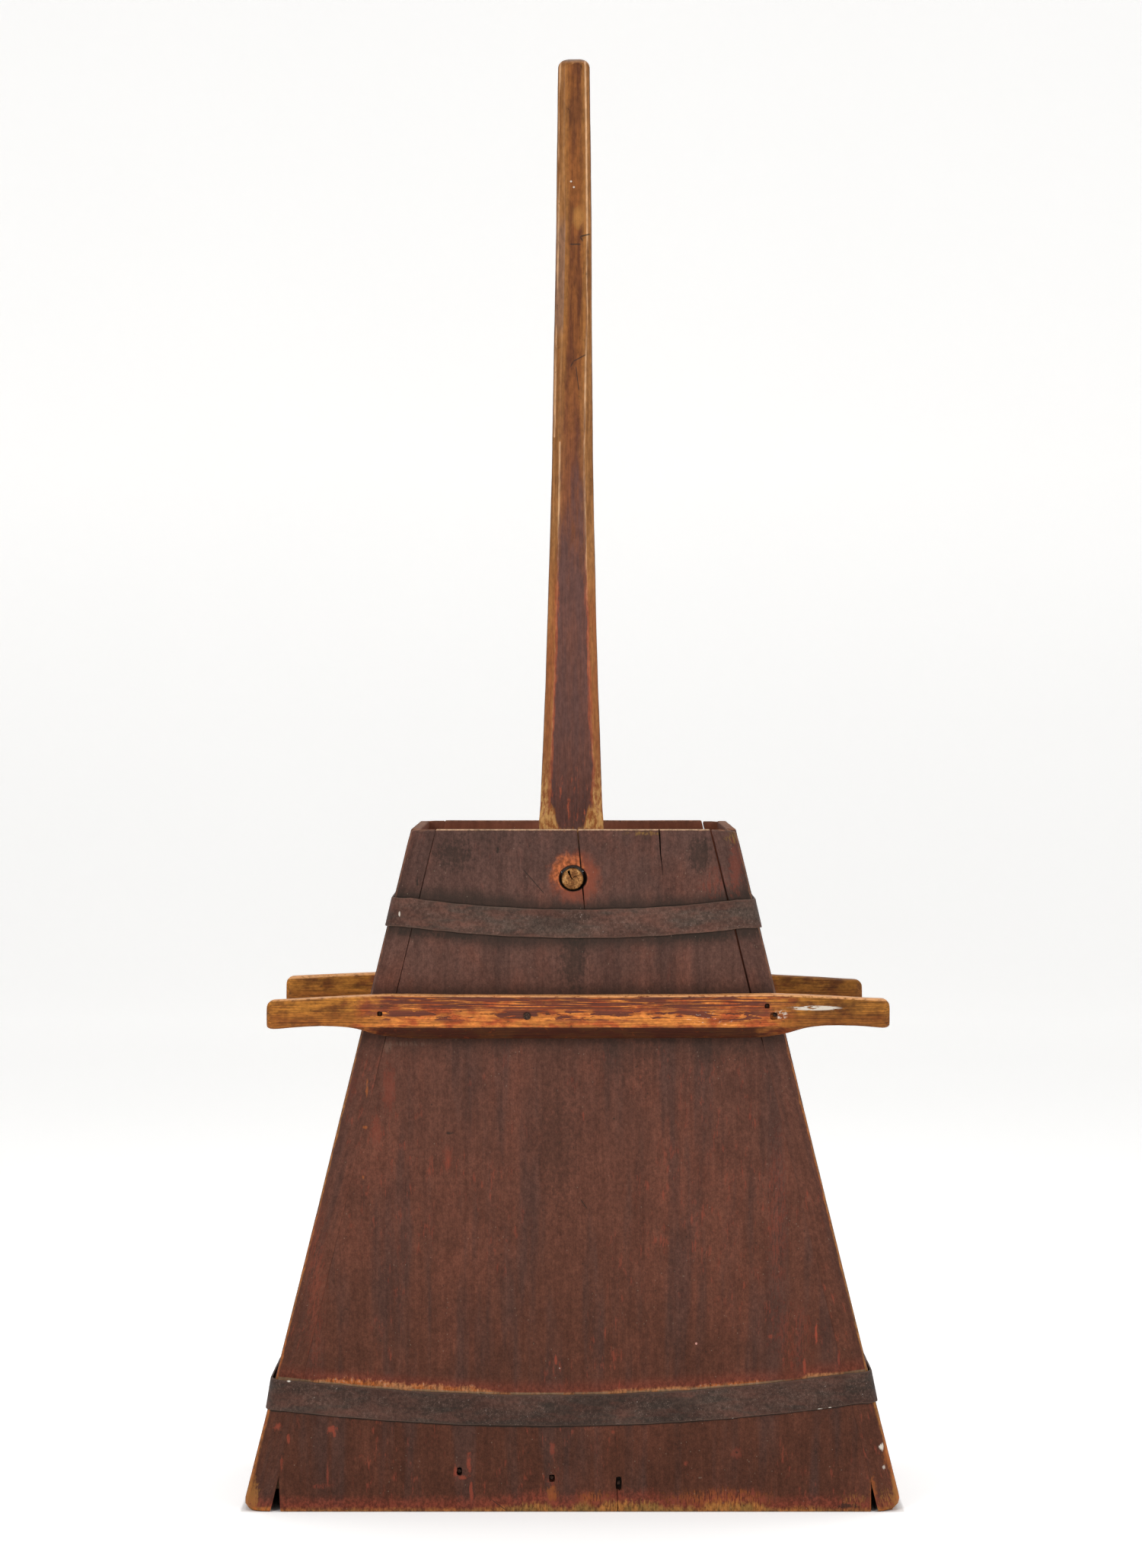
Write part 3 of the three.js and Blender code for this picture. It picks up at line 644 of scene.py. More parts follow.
def worn_edges(look, grain, colour, worn):
    """Orange-brown edges below the rail, duller ones above it, and a pale line along the rim."""
    bite = look.swing(look.noise((7, 7, 20), 9, 5.0, 0.65), 9.0)
    spread = look.line(look.fade(look.z, 190.0, 20.0), 1.6 * worn - 1.6, 1.0)
    spread = look.line(look.fade(look.z, 450.0, 400.0), 0.5 * worn - 0.5, spread)
    near = look.math("DIVIDE", look.add(look.attribute("edge"), bite), spread)
    high = look.fade(look.z, 440, 520)
    bare = look.mix(look.fade(grain.streak, 0.4, 0.6), ORANGE, HONEY)
    bare = look.lay(bare, (0.230, 0.110, 0.070), high, 0.75)
    bare = look.shade(bare, 0.50, 1.20, look.fade(grain.fleck, 0.35, 0.65))
    colour = look.lay(colour, bare, look.fade(near, 1.9 * worn, 0.3 * worn), look.line(high, -0.35, 0.9))
    flecked = look.fade(grain.fleck, 0.3, 0.7)
    rim_top = look.fade(look.z, HEIGHT - 1.9, HEIGHT - 0.8)
    colour = look.lay(colour, look.shade((0.200, 0.088, 0.050), 0.5, 1.4, flecked), rim_top, 0.6)
    rim_line = look.fade(look.z, HEIGHT - 1.3, HEIGHT - 0.6)
    arris = look.fade(look.size(look.y), OUTER_Y - 3.0, OUTER_Y - 1.6)
    return look.lay(colour, look.shade((0.560, 0.370, 0.230), 0.55, 1.25, flecked), rim_line, arris, 0.85)


def front_marks(look, grain, colour, side):
    """Chips, rubs and stains of the front face, on one side of it when `side` is -1 or 1."""
    ragged = look.add(look.swing(grain.fleck, 2.6), look.swing(grain.tufts, 1.6))
    broken = look.fade(grain.tufts, 0.44, 0.58)
    facing = look.fade(look.add(look.y, look.swing(grain.tufts, 20.0)), -OUTER_Y + 26, -OUTER_Y + 10)
    for tint, strength, places in FRONT_MARKS:
        for x, z, wide, tall in places:
            if side * x < -1 or (side and abs(x) < 120):
                continue
            spot = look.fade(look.add(look.away(x, z, wide, tall), ragged), 1.2, 0.4)
            if wide > 7 and tint not in (GRIME_AND_SHADE, DUST):
                spot = look.product(spot, broken)
            colour = look.lay(colour, tint, spot, facing, strength)
    return colour


def peg_ring(look, grain, colour):
    """The ring worn round the peg, brightest to its upper left, the hole painted near black as shade, and the
    front's scratches.
    """
    uneven = look.swing(look.noise((7, 7, 10), 21, 5.0, 0.65), 22.0)
    rubbed = look.minus(look.away(HOLE_X + 2, PIVOT + 2), uneven)
    bright = look.minus(look.away(HOLE_X - 4, PIVOT + 6), uneven)
    colour = look.lay(colour, (0.220, 0.054, 0.028), look.fade(rubbed, HOLE_RADIUS + 17, HOLE_RADIUS + 3),
                      0.65)
    orange = look.shade((0.430, 0.120, 0.040), 0.35, 1.25, look.fade(grain.fleck, 0.35, 0.65))
    colour = look.lay(colour, orange, look.fade(bright, HOLE_RADIUS + 8, HOLE_RADIUS - 2), 0.9)
    # Painted shade: the hole's wall and a thin lip round it are near black.
    away = look.away(HOLE_X, PIVOT + HOLE_RISE, 1.0, HOLE_SQUASH)
    inside = look.product(look.fade(look.y, -OUTER_Y + 0.1, -OUTER_Y + 0.5), look.fade(away, 24.0, 18.0))
    lip = look.product(look.fade(away, HOLE_RADIUS + 1.2, HOLE_RADIUS + 0.4), 0.8)
    colour = look.mix(look.most(inside, lip), colour, (0.008, 0.006, 0.005))
    return look.lay(colour, GRIME_AND_SHADE, look.most(*[look.stroke(*line) for line in FRONT_SCRATCHES]), 0.75)


def paint_look(name, lean=0.0, worn=1.0, side=None):
    """Old dull oxide-red paint on wood: mottled, faintly streaked, worn through at its edges and foot.

    `side` is where the piece stands on the front, -1, 0 or 1, or None for a piece that isn't there.
    """
    look = Look(name, lean)
    grain = paint_grain(look)
    from_upper = above_hoop(look, HOOPS["upper_hoop"])
    from_lower = above_hoop(look, HOOPS["lower_hoop"])
    colour = old_paint(look, grain, lean)
    colour = gathered_dirt_and_shade(look, grain, colour, from_upper, from_lower)
    colour = bare_foot(look, grain, colour, look.minus(from_lower, HOOPS["lower_hoop"]["width"] / 2))
    colour = worn_edges(look, grain, colour, worn)
    if side is not None:
        colour = front_marks(look, grain, colour, side)
    if side == 0:
        colour = peg_ring(look, grain, colour)

    specks = look.fade(look.cells((6, 6, 7), 1), 0.12, 0.06)
    colour = look.lay(colour, DUST, specks, look.fade(look.noise((24, 24, 30), 11), 0.5, 0.58), 0.30)
    pits = look.fade(look.cells((9, 9, 12), 3), 0.09, 0.05)
    colour = look.lay(colour, GRIME_AND_SHADE, pits, look.fade(look.noise((30, 30, 30), 13), 0.5, 0.58), 0.7)
    relief = look.bump(grain.fibre, 0.10)
    relief = look.bump(grain.streak, 0.35, relief)
    relief = look.bump(grain.fleck, 0.16, relief)
    return look.finish(colour, look.line(grain.fleck, 0.20, 0.60), relief, specular=0.10)


def iron_look(name):
    """Rusted hoop iron: grey-brown, pitted, with duller patches and fine pale freckles."""
    look = Look(name)
    cloud = look.noise((34, 34, 14), 1, 5.0, 0.6)
    slate = look.noise((58, 58, 16), 4, 5.0, 0.6)
    pit = look.noise((3.0, 3.0, 3.0), 2, 5.0, 0.7)
    grit = look.noise((0.9, 0.9, 0.9), 3, 4.0, 0.7)
    edge = look.attribute("edge")
    colour = look.mix(look.fade(cloud, 0.36, 0.64), (0.070, 0.032, 0.023), (0.056, 0.031, 0.023))
    colour = look.lay(colour, (0.036, 0.028, 0.022), look.fade(slate, 0.46, 0.60), 0.60)
    colour = look.shade(colour, 1.0, 1.30, look.fade(look.z, 300, 400))
    colour = look.shade(colour, 0.72, 1.32, look.fade(pit, 0.34, 0.66))
    colour = look.shade(colour, 0.80, 1.25, look.fade(look.noise((80, 80, 22), 6, 4.0), 0.36, 0.64))
    freckles = look.product(look.fade(grit, 0.54, 0.66), look.fade(pit, 0.44, 0.60),
                            look.fade(cloud, 0.36, 0.60))
    colour = look.lay(colour, (0.290, 0.185, 0.155), freckles, 0.62)
    rim = look.fade(look.add(edge, look.swing(pit, 5.0)), 1.4, 0.1)
    colour = look.lay(colour, (0.130, 0.085, 0.062), rim, 0.35)
    ragged = look.swing(grit, 1.4)
    facing = look.fade(look.y, -40.0, -80.0)
    for x, z, wide, tall in HOOP_DRIPS:
        drip = look.fade(look.add(look.away(x, z, wide, tall), ragged), 1.2, 0.6)
        colour = look.lay(colour, CHALK, drip, facing, 0.9)
    chips = look.product(look.fade(look.cells((8, 8, 8), 5), 0.10, 0.05), look.fade(cloud, 0.50, 0.56))
    colour = look.lay(colour, (0.330, 0.260, 0.230), chips, 0.5)
    rough = look.line(pit, 0.3, 0.45)
    relief = look.bump(pit, 0.20)
    relief = look.bump(cloud, 0.6, relief)
    return look.finish(colour, rough, relief, specular=0.12)


def nail_look(name):
    """Dark, pitted nail iron."""
    look = Look(name)
    pit = look.noise((1.6, 1.6, 1.6), 1, 4.0)
    colour = look.mix(look.fade(pit, 0.4, 0.65), (0.020, 0.012, 0.009), (0.080, 0.042, 0.028))
    return look.finish(colour, look.line(pit, 0.3, 0.55), look.bump(pit, 0.3), specular=0.12)


def rail_look(name, seed):
    """A carrying rail: paint left in long strips in the middle, and grips worn to honey-coloured wood."""
    look = Look(name)
    fibre = look.noise((46, 0.9, 0.9), seed + 1, 4.0)
    lines = look.noise((70, 1.5, 1.5), seed + 2, 5.0, 0.6)
    patch = look.noise((40, 7.0, 7.0), seed + 3, 5.0, 0.62)
    cloud = look.noise((22, 12, 12), seed + 4, 5.0, 0.6)
    fleck = look.noise((5, 2.5, 2.5), seed + 7, 5.0, 0.65)
    edge = look.attribute("edge")
    swing = look.line(cloud, 60.0, look.size(look.x))
    grip = look.fade(swing, 212, 262)
    middle = look.minus(1.0, grip)

    bare = look.mix(look.fade(cloud, 0.38, 0.62), (0.360, 0.072, 0.019), (0.600, 0.200, 0.040))
    handled = look.mix(look.fade(cloud, 0.34, 0.60), (0.170, 0.052, 0.008), (0.410, 0.155, 0.022))
    handled = look.lay(handled, (0.220, 0.060, 0.010), look.fade(look.z, 512, 504), 0.55)
    handled = look.shade(handled, 1.0, 0.72, look.fade(look.x, 150, 260))
    bare = look.mix(grip, bare, handled)
    bare = look.shade(bare, 0.55, 1.30, look.fade(fibre, 0.3, 0.7))
    bare = look.shade(bare, 0.74, 1.18, look.fade(fleck, 0.3, 0.7))
    paint = look.mix(look.fade(fibre, 0.3, 0.7), (0.085, 0.026, 0.016), (0.145, 0.036, 0.020))
    upper = look.product(look.fade(lines, 0.46, 0.49), look.fade(look.z, 508, 515))
    blocks = look.product(look.fade(look.add(patch, look.swing(fleck, 0.10)), 0.51, 0.53),
                          look.fade(look.z, 499, 503), look.fade(look.z, 514, 510))
    kept = look.product(look.most(upper, blocks), middle, look.fade(edge, 0.2, 1.0))
    colour = look.mix(kept, bare, paint)
    # The bottom bevel is dark: its dark red paint, and painted shade on the downward face.
    bevel_top = RAIL_LOW[2] + RAIL_RISE[0][1] + RAIL_CHAMFER
    bevel = look.product(look.fade(look.z, bevel_top + 0.9, bevel_top - 0.6), middle)
    spots = look.fade(look.noise((9, 7, 7), seed + 5, 4.0, 0.65), 0.60, 0.68)
    dark = look.lay((0.024, 0.0040, 0.0008), (0.200, 0.036, 0.005), spots, 0.4)
    colour = look.lay(colour, look.shade(dark, 0.7, 1.3, fibre), bevel, 0.94)
    arris = look.product(look.fade(look.off(look.z, bevel_top + 0.2), 1.3, 0.4), middle)
    colour = look.lay(colour, (0.030, 0.010, 0.005), arris, look.fade(lines, 0.40, 0.52), 0.7)
    stain = look.product(look.fade(look.noise((8, 4, 4), seed + 6, 5.0, 0.7), 0.60, 0.70), 0.75)
    colour = look.mix(stain, colour, (0.045, 0.022, 0.008))
    glint = look.product(look.fade(edge, 2.0, 0.6), look.fade(look.z, 515, 520),
                         look.fade(fleck, 0.32, 0.54), 0.85)
    colour = look.mix(glint, colour, (0.760, 0.370, 0.150))
    if seed == 0:
        colour = rail_chips(look, colour, fleck)

    rough = look.line(cloud, 0.25, 0.42)
    relief = look.bump(fibre, 0.22)
    relief = look.bump(kept, 0.25, relief)
    return look.finish(colour, rough, relief, specular=0.16)


def rail_chips(look, colour, fleck):
    """Pale scratches and chips at the right of the front rail."""
    chalk = look.fade(look.noise((18, 3.0, 3.0), 30, 5.0, 0.7), 0.44, 0.54)
    scratch = look.product(look.fade(look.away(245, 514, 28, 2.6), 1.1, 0.7), chalk)
    by_nail = look.product(look.fade(look.away(211, 507.5, 7, 5.5), 1.1, 0.5), look.fade(fleck, 0.48, 0.56))
    nicks = look.product(look.fade(look.away(140, 503, 26, 7), 1.1, 0.7), look.fade(fleck, 0.60, 0.68))
    return look.lay(colour, CHALK, look.most(scratch, by_nail, nicks), 0.9)


def lever_look(name):
    """The lever: hand-polished honey-brown wood above, old paint with bare chamfers below."""
    look = Look(name)
    fibre = look.noise((0.8, 0.8, 50), 1, 4.0)
    streak = look.noise((5, 5, 80), 2, 5.0, 0.6)
    cloud = look.noise((9, 9, 70), 3, 5.0, 0.62)
    fleck = look.noise((4, 4, 8), 4, 5.0, 0.65)
    ragged = look.swing(look.noise((3.5, 3.5, 26), 6, 5.0, 0.7), 11.0)
    facet = look.fade(look.attribute("facet"), 0.3, 0.7)
    arris = look.attribute("edge")
    inward = look.attribute("inward")

    # The middle of the front is stained red-brown, and its sides are worn golden.
    wood = look.mix(look.fade(cloud, 0.38, 0.64), (0.100, 0.030, 0.011), (0.215, 0.071, 0.017))
    worn_side = look.fade(look.add(inward, ragged), 7.5, 1.5)
    wood = look.lay(wood, (0.330, 0.140, 0.034), worn_side, 0.60)
    golden = look.fade(look.add(look.away(7, 1332, 8, 13), look.swing(fleck, 1.6)), 1.2, 0.5)
    wood = look.lay(wood, (0.360, 0.160, 0.040), golden, 0.65)
    handled = look.fade(look.add(look.away(2, 1442, 9, 32), look.swing(cloud, 2.4)), 1.2, 0.4)
    wood = look.lay(wood, (0.085, 0.028, 0.011), handled, 0.55)
    # The chamfers are paler, partly worn wood and partly painted sheen, with a patch of grey painted
    # reflection on the left one.
    pale = look.mix(look.fade(streak, 0.35, 0.65), (0.180, 0.066, 0.018), (0.340, 0.150, 0.048))
    wood = look.lay(wood, pale, facet, 0.75)
    grey_sheen = look.product(facet, look.fade(look.x, 0.0, -4.0), look.fade(look.off(look.z, 1270.0), 70.0, 45.0))
    wood = look.lay(wood, (0.210, 0.115, 0.078), grey_sheen, 0.6)
    glint = look.product(look.fade(arris, 1.5, 0.4), look.fade(streak, 0.38, 0.52), 0.75)
    wood = look.mix(glint, wood, (0.620, 0.360, 0.190))
    stain = look.fade(look.noise((7, 7, 13), 5, 5.0, 0.7), 0.62, 0.70)
    wood = look.lay(wood, (0.035, 0.015, 0.006), stain, 0.65)
    for start, end, width in LEVER_CRACKS:
        wood = look.lay(wood, GRIME_AND_SHADE, look.stroke(start, end, width), 0.85)
    for x, z in ((-1.5, 1370), (1.5, 1364)):
        wood = look.lay(wood, CHALK, look.fade(look.away(x, z), 1.3, 0.7), 0.8)

    # Below, paint is kept between ragged bare chamfers, with a brighter red at its edge.
    paint = look.mix(look.fade(cloud, 0.35, 0.65), (0.104, 0.046, 0.037), (0.130, 0.050, 0.035))
    inside = look.add(inward, ragged)
    rising = look.add(look.z, look.swing(cloud, 460.0))
    foot = look.add(look.z, look.add(look.swing(fleck, 20.0), look.swing(streak, 20.0)))
    above_foot = look.fade(look.add(foot, look.product(look.fade(inward, 3.0, 13.0), 26.0)), 711, 719)
    painted = look.product(look.fade(rising, 1080, 930), above_foot)
    kept = look.product(look.fade(inside, -0.5, 1.0), painted)
    below = look.fade(look.z, 1010, 900)
    chamfer = look.mix(look.fade(streak, 0.4, 0.6), (0.340, 0.100, 0.032), (0.360, 0.130, 0.036))
    wood = look.lay(wood, chamfer, below, 0.55)
    tint = look.product(look.fade(look.z, 1230, 980), look.fade(inside, -1.0, 1.5), above_foot, 0.65)
    colour = look.mix(tint, wood, (0.155, 0.052, 0.030))
    colour = look.mix(kept, colour, paint)
    honeyed = look.product(look.fade(look.z, 780, 715), look.minus(1.0, kept), 0.85)
    golds = look.mix(look.fade(fleck, 0.38, 0.58), (0.400, 0.125, 0.036), (0.600, 0.320, 0.105))
    colour = look.mix(honeyed, colour, golds)
    fringe = look.product(look.fade(look.size(inside), 2.4, 0.6), painted, below, 0.7)
    colour = look.mix(fringe, colour, (0.320, 0.070, 0.028))
    rub = look.fade(look.noise((2.6, 2.6, 17), 7, 5.0, 0.7), 0.56, 0.64)
    rubbed = look.product(rub, look.fade(look.z, 775, 715), look.fade(inside, -1.0, 1.0), 0.85)
    colour = look.mix(rubbed, colour, (0.380, 0.085, 0.040))
    colour = look.shade(colour, 0.84, 1.16, look.fade(fibre, 0.25, 0.75))
    colour = look.shade(colour, 0.80, 1.18, look.fade(fleck, 0.3, 0.7))
    # Painted shade: darker below the rim, where the lever is inside the vessel, and near black round the
    # pivot.
    colour = look.lay(colour, (0.030, 0.014, 0.009), look.fade(look.z, HEIGHT - 3, HEIGHT - 9), 0.85)
    colour = look.lay(colour, (0.010, 0.007, 0.005), look.fade(look.away(0, PIVOT), 40, 26), 0.95)
    # Painted shade: the lever's side faces and its top end are darkened.
    flank = look.fade(look.attribute("flank"), 1.1, 0.2)
    top = look.fade(look.z, LEVER_TOP - 5.0, LEVER_TOP - 1.0)
    colour = look.lay(colour, (0.050, 0.023, 0.012), look.most(flank, top), 0.6)

    rough = look.line(kept, 0.20, look.line(fleck, 0.16, 0.34))
    relief = look.bump(fibre, 0.12)
    relief = look.bump(kept, 0.12, relief)
    return look.finish(colour, rough, relief, specular=0.18)


def peg_look(name):
    """The axle peg: straw-coloured at its ends, and black along its length, partly grease and partly painted
    shade in its hole.
    """
    look = Look(name)
    fibre = look.noise((1.2, 50, 1.2), 1, 4.0)
    blot = look.noise((5, 9, 5), 2, 5.0, 0.65)
    colour = look.mix(look.fade(blot, 0.36, 0.62), (0.150, 0.055, 0.014), (0.420, 0.195, 0.062))
    colour = look.shade(colour, 0.6, 1.3, look.fade(fibre, 0.3, 0.7))
    colour = look.lay(colour, (0.66, 0.44, 0.21), look.fade(blot, 0.58, 0.68), 0.6)
    # Grease and painted shade: near black behind the front end.
    greased_and_shaded = look.fade(look.size(look.y), -PEG_LOW[1] - PEG_SUNK - 0.8, -PEG_LOW[1] - PEG_SUNK - 2.2)
    colour = look.mix(greased_and_shaded, colour, (0.020, 0.012, 0.007))
    return look.finish(colour, 0.62, look.bump(look.most(fibre, blot), 0.4), specular=0.15)


def inner_look(name, along):
    """Bare, dry, milk-washed wood inside the vessel. `along` is how far the grain runs on each axis."""
    look = Look(name)
    fibre = look.noise(tuple(max(1.0, 50.0 * a) for a in along), 1, 4.0)
    cloud = look.noise((50, 50, 50), 2, 4.0)
    colour = look.mix(look.fade(cloud, 0.35, 0.65), (0.120, 0.066, 0.036), (0.235, 0.140, 0.078))
    colour = look.shade(colour, 0.75, 1.2, look.fade(fibre, 0.3, 0.7))
    return look.finish(colour, 0.8, look.bump(fibre, 0.3), specular=0.1)


# ---- The vessel's boards and staves ----
def seam_x(tag, z):
    at_foot, at_rim = FACE_WIDTH[tag]
    return half_width(z) - at_foot - (at_rim - at_foot) * z / HEIGHT


def middle_seam(z):
    down = HEIGHT - z
    return 4.0 + 0.0949 * down - 4.96e-5 * down * down


# Open joints: the gap at a height z is narrow + wide * smooth((z - start) / over), in millimetres.
GAPS = {
    "front": {"middle": (0.04, 1.1, 580, 60), "left": (0.10, 0.45, 440, 80), "right": (0.04, 1.4, 455, 60)},
    "back": {"middle": (0.05, 0.3, 300, 300), "left": (0.05, 1.15, 480, 214), "right": (0.05, 0.0, 0, 1)},
}
OTHER_SIDE = {"left": "right", "right": "left"}


def gap_at(face, tag, z):
    narrow, wide, start, over = GAPS[face][tag]
    gap = narrow + wide * smooth((z - start) / over)
    if (face, tag) == ("front", "middle"):
        gap += 0.5 * smooth((34 - z) / 10)  # it opens again at the foot
    return gap


def rim_bevel(z):
    return RIM_BEVEL * clamp((z - HEIGHT + RIM_BEVEL_HEIGHT) / RIM_BEVEL_HEIGHT)


def inner_y(z):
    """Where the inside of a long wall is: it is bevelled outwards at the rim."""
    return -OUTER_Y + WALL - rim_bevel(z)


def board_outer_x(tag, z):
    top, draft = WEDGE[tag]
    if z >= top:
        return seam_x(tag, z)
    return seam_x(tag, top) - draft * (1 - z / top)


def upright(name, section, arc_steps, side_steps, place, end_radius=1.2):
    """A board or stave: `section` gives its corners and their cuts at a height, in the long face's frame."""
    rings = []
    for z, inset in stations(HEIGHT, 5.0, end_radius):
        corners, cuts = section(z)
        if inset:
            corners = shrunk(corners, inset)
            cuts = [max(0.02, c - inset * 0.4) for c in cuts]
        plan = outline(corners, cuts, arc_steps, side_steps)
        rings.append(place(np.column_stack([plan, np.full(len(plan), z)])))
    return loft(name, rings)


def board_section(face, tag):
    def section(z):
        middle_gap, side_gap = gap_at(face, "middle", z), gap_at(face, tag, z)
        outer = board_outer_x(tag, z) - side_gap / 2
        soft_middle, soft_outer = clamp(middle_gap, 0.03, 0.7), clamp(side_gap * 1.2, 0.15, 1.0)
        if tag == "left":
            x0, x1 = -outer, middle_seam(z) - middle_gap / 2
            cuts = [soft_outer, soft_middle, 0.5, 0.5]
        else:
            x0, x1 = middle_seam(z) + middle_gap / 2, outer
            cuts = [soft_middle, soft_outer, 0.5, 0.5]
        return [(x0, -OUTER_Y), (x1, -OUTER_Y), (x1, inner_y(z)), (x0, inner_y(z))], cuts

    return section


def outer_x(side, z):
    """The outside of a leaning wall, worn round at its foot."""
    toe = TOE_RADIUS[side]
    if z >= toe:
        return half_width(z)
    return half_width(z) - toe * (1 - math.sqrt(max(0.0, 1 - (1 - z / toe) ** 2)))


def stave_section(face, tag):
    side = tag if face == "front" else OTHER_SIDE[tag]

    def section(z):
        gap, x = gap_at(face, tag, z), outer_x(side, z)
        inner_x = half_width(z) - WALL_X + rim_bevel(z)
        face_x = seam_x(tag, z) + gap / 2
        side_y = -OUTER_Y + SIDE_WIDTH - 0.2
        corners = [(face_x, -OUTER_Y), (x, -OUTER_Y), (x, side_y), (inner_x, side_y), (inner_x, inner_y(z)),
                   (face_x, inner_y(z))]
        return corners, [clamp(gap * 1.2, 0.15, 1.0), CORNER_RADIUS - 1, 0.5, 0.4, 4.0, 0.4]

    return section


def side_section(side):
    def section(z):
        reach = OUTER_Y - SIDE_WIDTH - 0.2
        x0, x1 = half_width(z) - WALL_X + rim_bevel(z), outer_x(side, z)
        return [(x0, -reach), (x1, -reach), (x1, reach), (x0, reach)], [0.5, 0.5, 0.5, 0.5]

    return section


def rim_and_foot_distance(points):
    """How far a point of a board is from the rim or the ground, in millimetres."""
    z = np.clip(points[:, 2], 0, HEIGHT)
    return np.minimum(HEIGHT - z + 0.6, z + 1.5)


def dub(stave):
    """Rounds the rim off over a stave's outer corner, where hands and lids have rubbed it."""
    points = coords_mm(stave)
    z = np.clip(points[:, 2], 0, HEIGHT)
    out = np.maximum(np.abs(points[:, 0]) - half_width(z) + CORNER_RADIUS, 0)
    deep = np.maximum(np.abs(points[:, 1]) - OUTER_Y + CORNER_RADIUS, 0)
    reach = np.minimum(np.hypot(out, deep), CORNER_RADIUS)
    outer = np.clip((reach - 6.0) / (CORNER_RADIUS - 6.0), 0, 1)
    near_top = np.clip((points[:, 2] - HEIGHT + 14.0) / 14.0, 0, 1)
    points[:, 2] -= RIM_DUB * outer ** 2 * near_top
    set_coords_mm(stave, points)


def stave_edge_distance(points):
    """For a corner stave: how far a point is from the worn line down its round corner, or from its ends."""
    x, y, z = np.abs(points[:, 0]), np.abs(points[:, 1]), np.clip(points[:, 2], 0, HEIGHT)
    out = half_width(z) - CORNER_RADIUS
    deep = OUTER_Y - CORNER_RADIUS
    angle = np.degrees(np.arctan2(np.maximum(y - deep, 0), np.maximum(x - out, 1e-6)))
    on_round = np.where((x > out) & (y > deep), np.abs(angle - WORN_ANGLE) * 0.30, 12.0)
    return np.minimum(on_round, np.minimum(HEIGHT - z + 0.4, z + 0.6))


def drum(name, radius, x, z, y0, y1, flare=0.4, squash=1.0):
    """An uneven round cutter along Y that opens out at y0. `squash` is its height over its width."""
    rings = [ring_on_y(x, y, z, 48, lambda a: radius + extra + 0.25 * round_noise(a, 3, 3), squash=squash)
             for y, extra in [(y0 - 4, flare), (y0, flare), (y0 + flare, 0.0), (y1, 0.0)]]
    return loft(name, rings)


def nail_well(name, wide, tall, x, z, y0, y1, seed):
    """A ragged well along Y, as a set nail leaves; `wide` and `tall` are half sizes."""
    def radius(a):
        square = 1 / max(abs(math.cos(a)), abs(math.sin(a))) ** 0.5
        return wide * square + grow + 0.5 * round_noise(a, 2, seed * 4.7)

    rings = []
    for y, grow in [(y0, 0.5), (y0 + 3.2, 0.0), (y1, -0.3)]:
        rings.append(ring_on_y(x, y, z, 12, radius, 0.5, tall / wide))
    return loft(name, rings)


def crack_cutter(name, x_top, x_low, z_top, z_low, width):
    """A thin upright split in the front face, widest at its top, wandering a little on its way down."""
    rings = []
    for f in np.linspace(0, 1, 15):
        z = z_low + (z_top - z_low) * f
        x = x_low + (x_top - x_low) * f + 0.5 * math.sin(9 * f) * (1 - f)
        half = max(0.03, width / 2 * f ** 0.5)
        rings.append(np.array([(x - half, -OUTER_Y - 1, z), (x + half, -OUTER_Y - 1, z),
                               (x + half * 0.3, -OUTER_Y + 5, z), (x - half * 0.3, -OUTER_Y + 5, z)]))
    return loft(name, rings)


FLOOR_NAIL_SPOTS = [(-115.0, 41.0), (-21.0, 34.0), (47.0, 29.0)]
FLOOR_WELLS = [(2.7, 4.0), (2.9, 3.8), (3.0, 6.6)]  # half width and half height of the wells over them
RAIL_WELLS = [(-195.0, 508.0, 2.9, 2.5), (-46.0, 506.0, 2.3, 2.3), (197.0, 516.0, 2.6, 2.6),
              (203.8, 505.8, 4.2, 4.0)]  # middle, half width and half height of the wells over the nails
SUNK_DEPTH = 4.0


def front_place(points):
    return settled(points)


def back_place(points):
    return settled(turned(points))


def mirrored(place):
    """Places a left piece from the outline of a right one."""
    return lambda points: place(points[::-1] * np.array([-1.0, 1.0, 1.0]))


def face_cutters(front):
    """The peg's hole, the wells of the floor nails and the front's split."""
    outside = -OUTER_Y
    cutters = [drum("cut_peg", HOLE_RADIUS, HOLE_X, PIVOT + HOLE_RISE, outside, outside + WALL + 6,
                    squash=HOLE_SQUASH)]
    for i, ((x, z), (wide, tall)) in enumerate(zip(FLOOR_NAIL_SPOTS, FLOOR_WELLS)):
        cutters.append(nail_well(f"cut_nail_{i}", wide, tall, x, z, outside - 2, outside + SUNK_DEPTH + 1, i))
    if front:
        return cutters + [crack_cutter("cut_split", 88.0, 91.5, HEIGHT + 2, 646.0, 1.9)]
    for cutter in cutters:
        set_coords_mm(cutter, turned(coords_mm(cutter)))
    return cutters


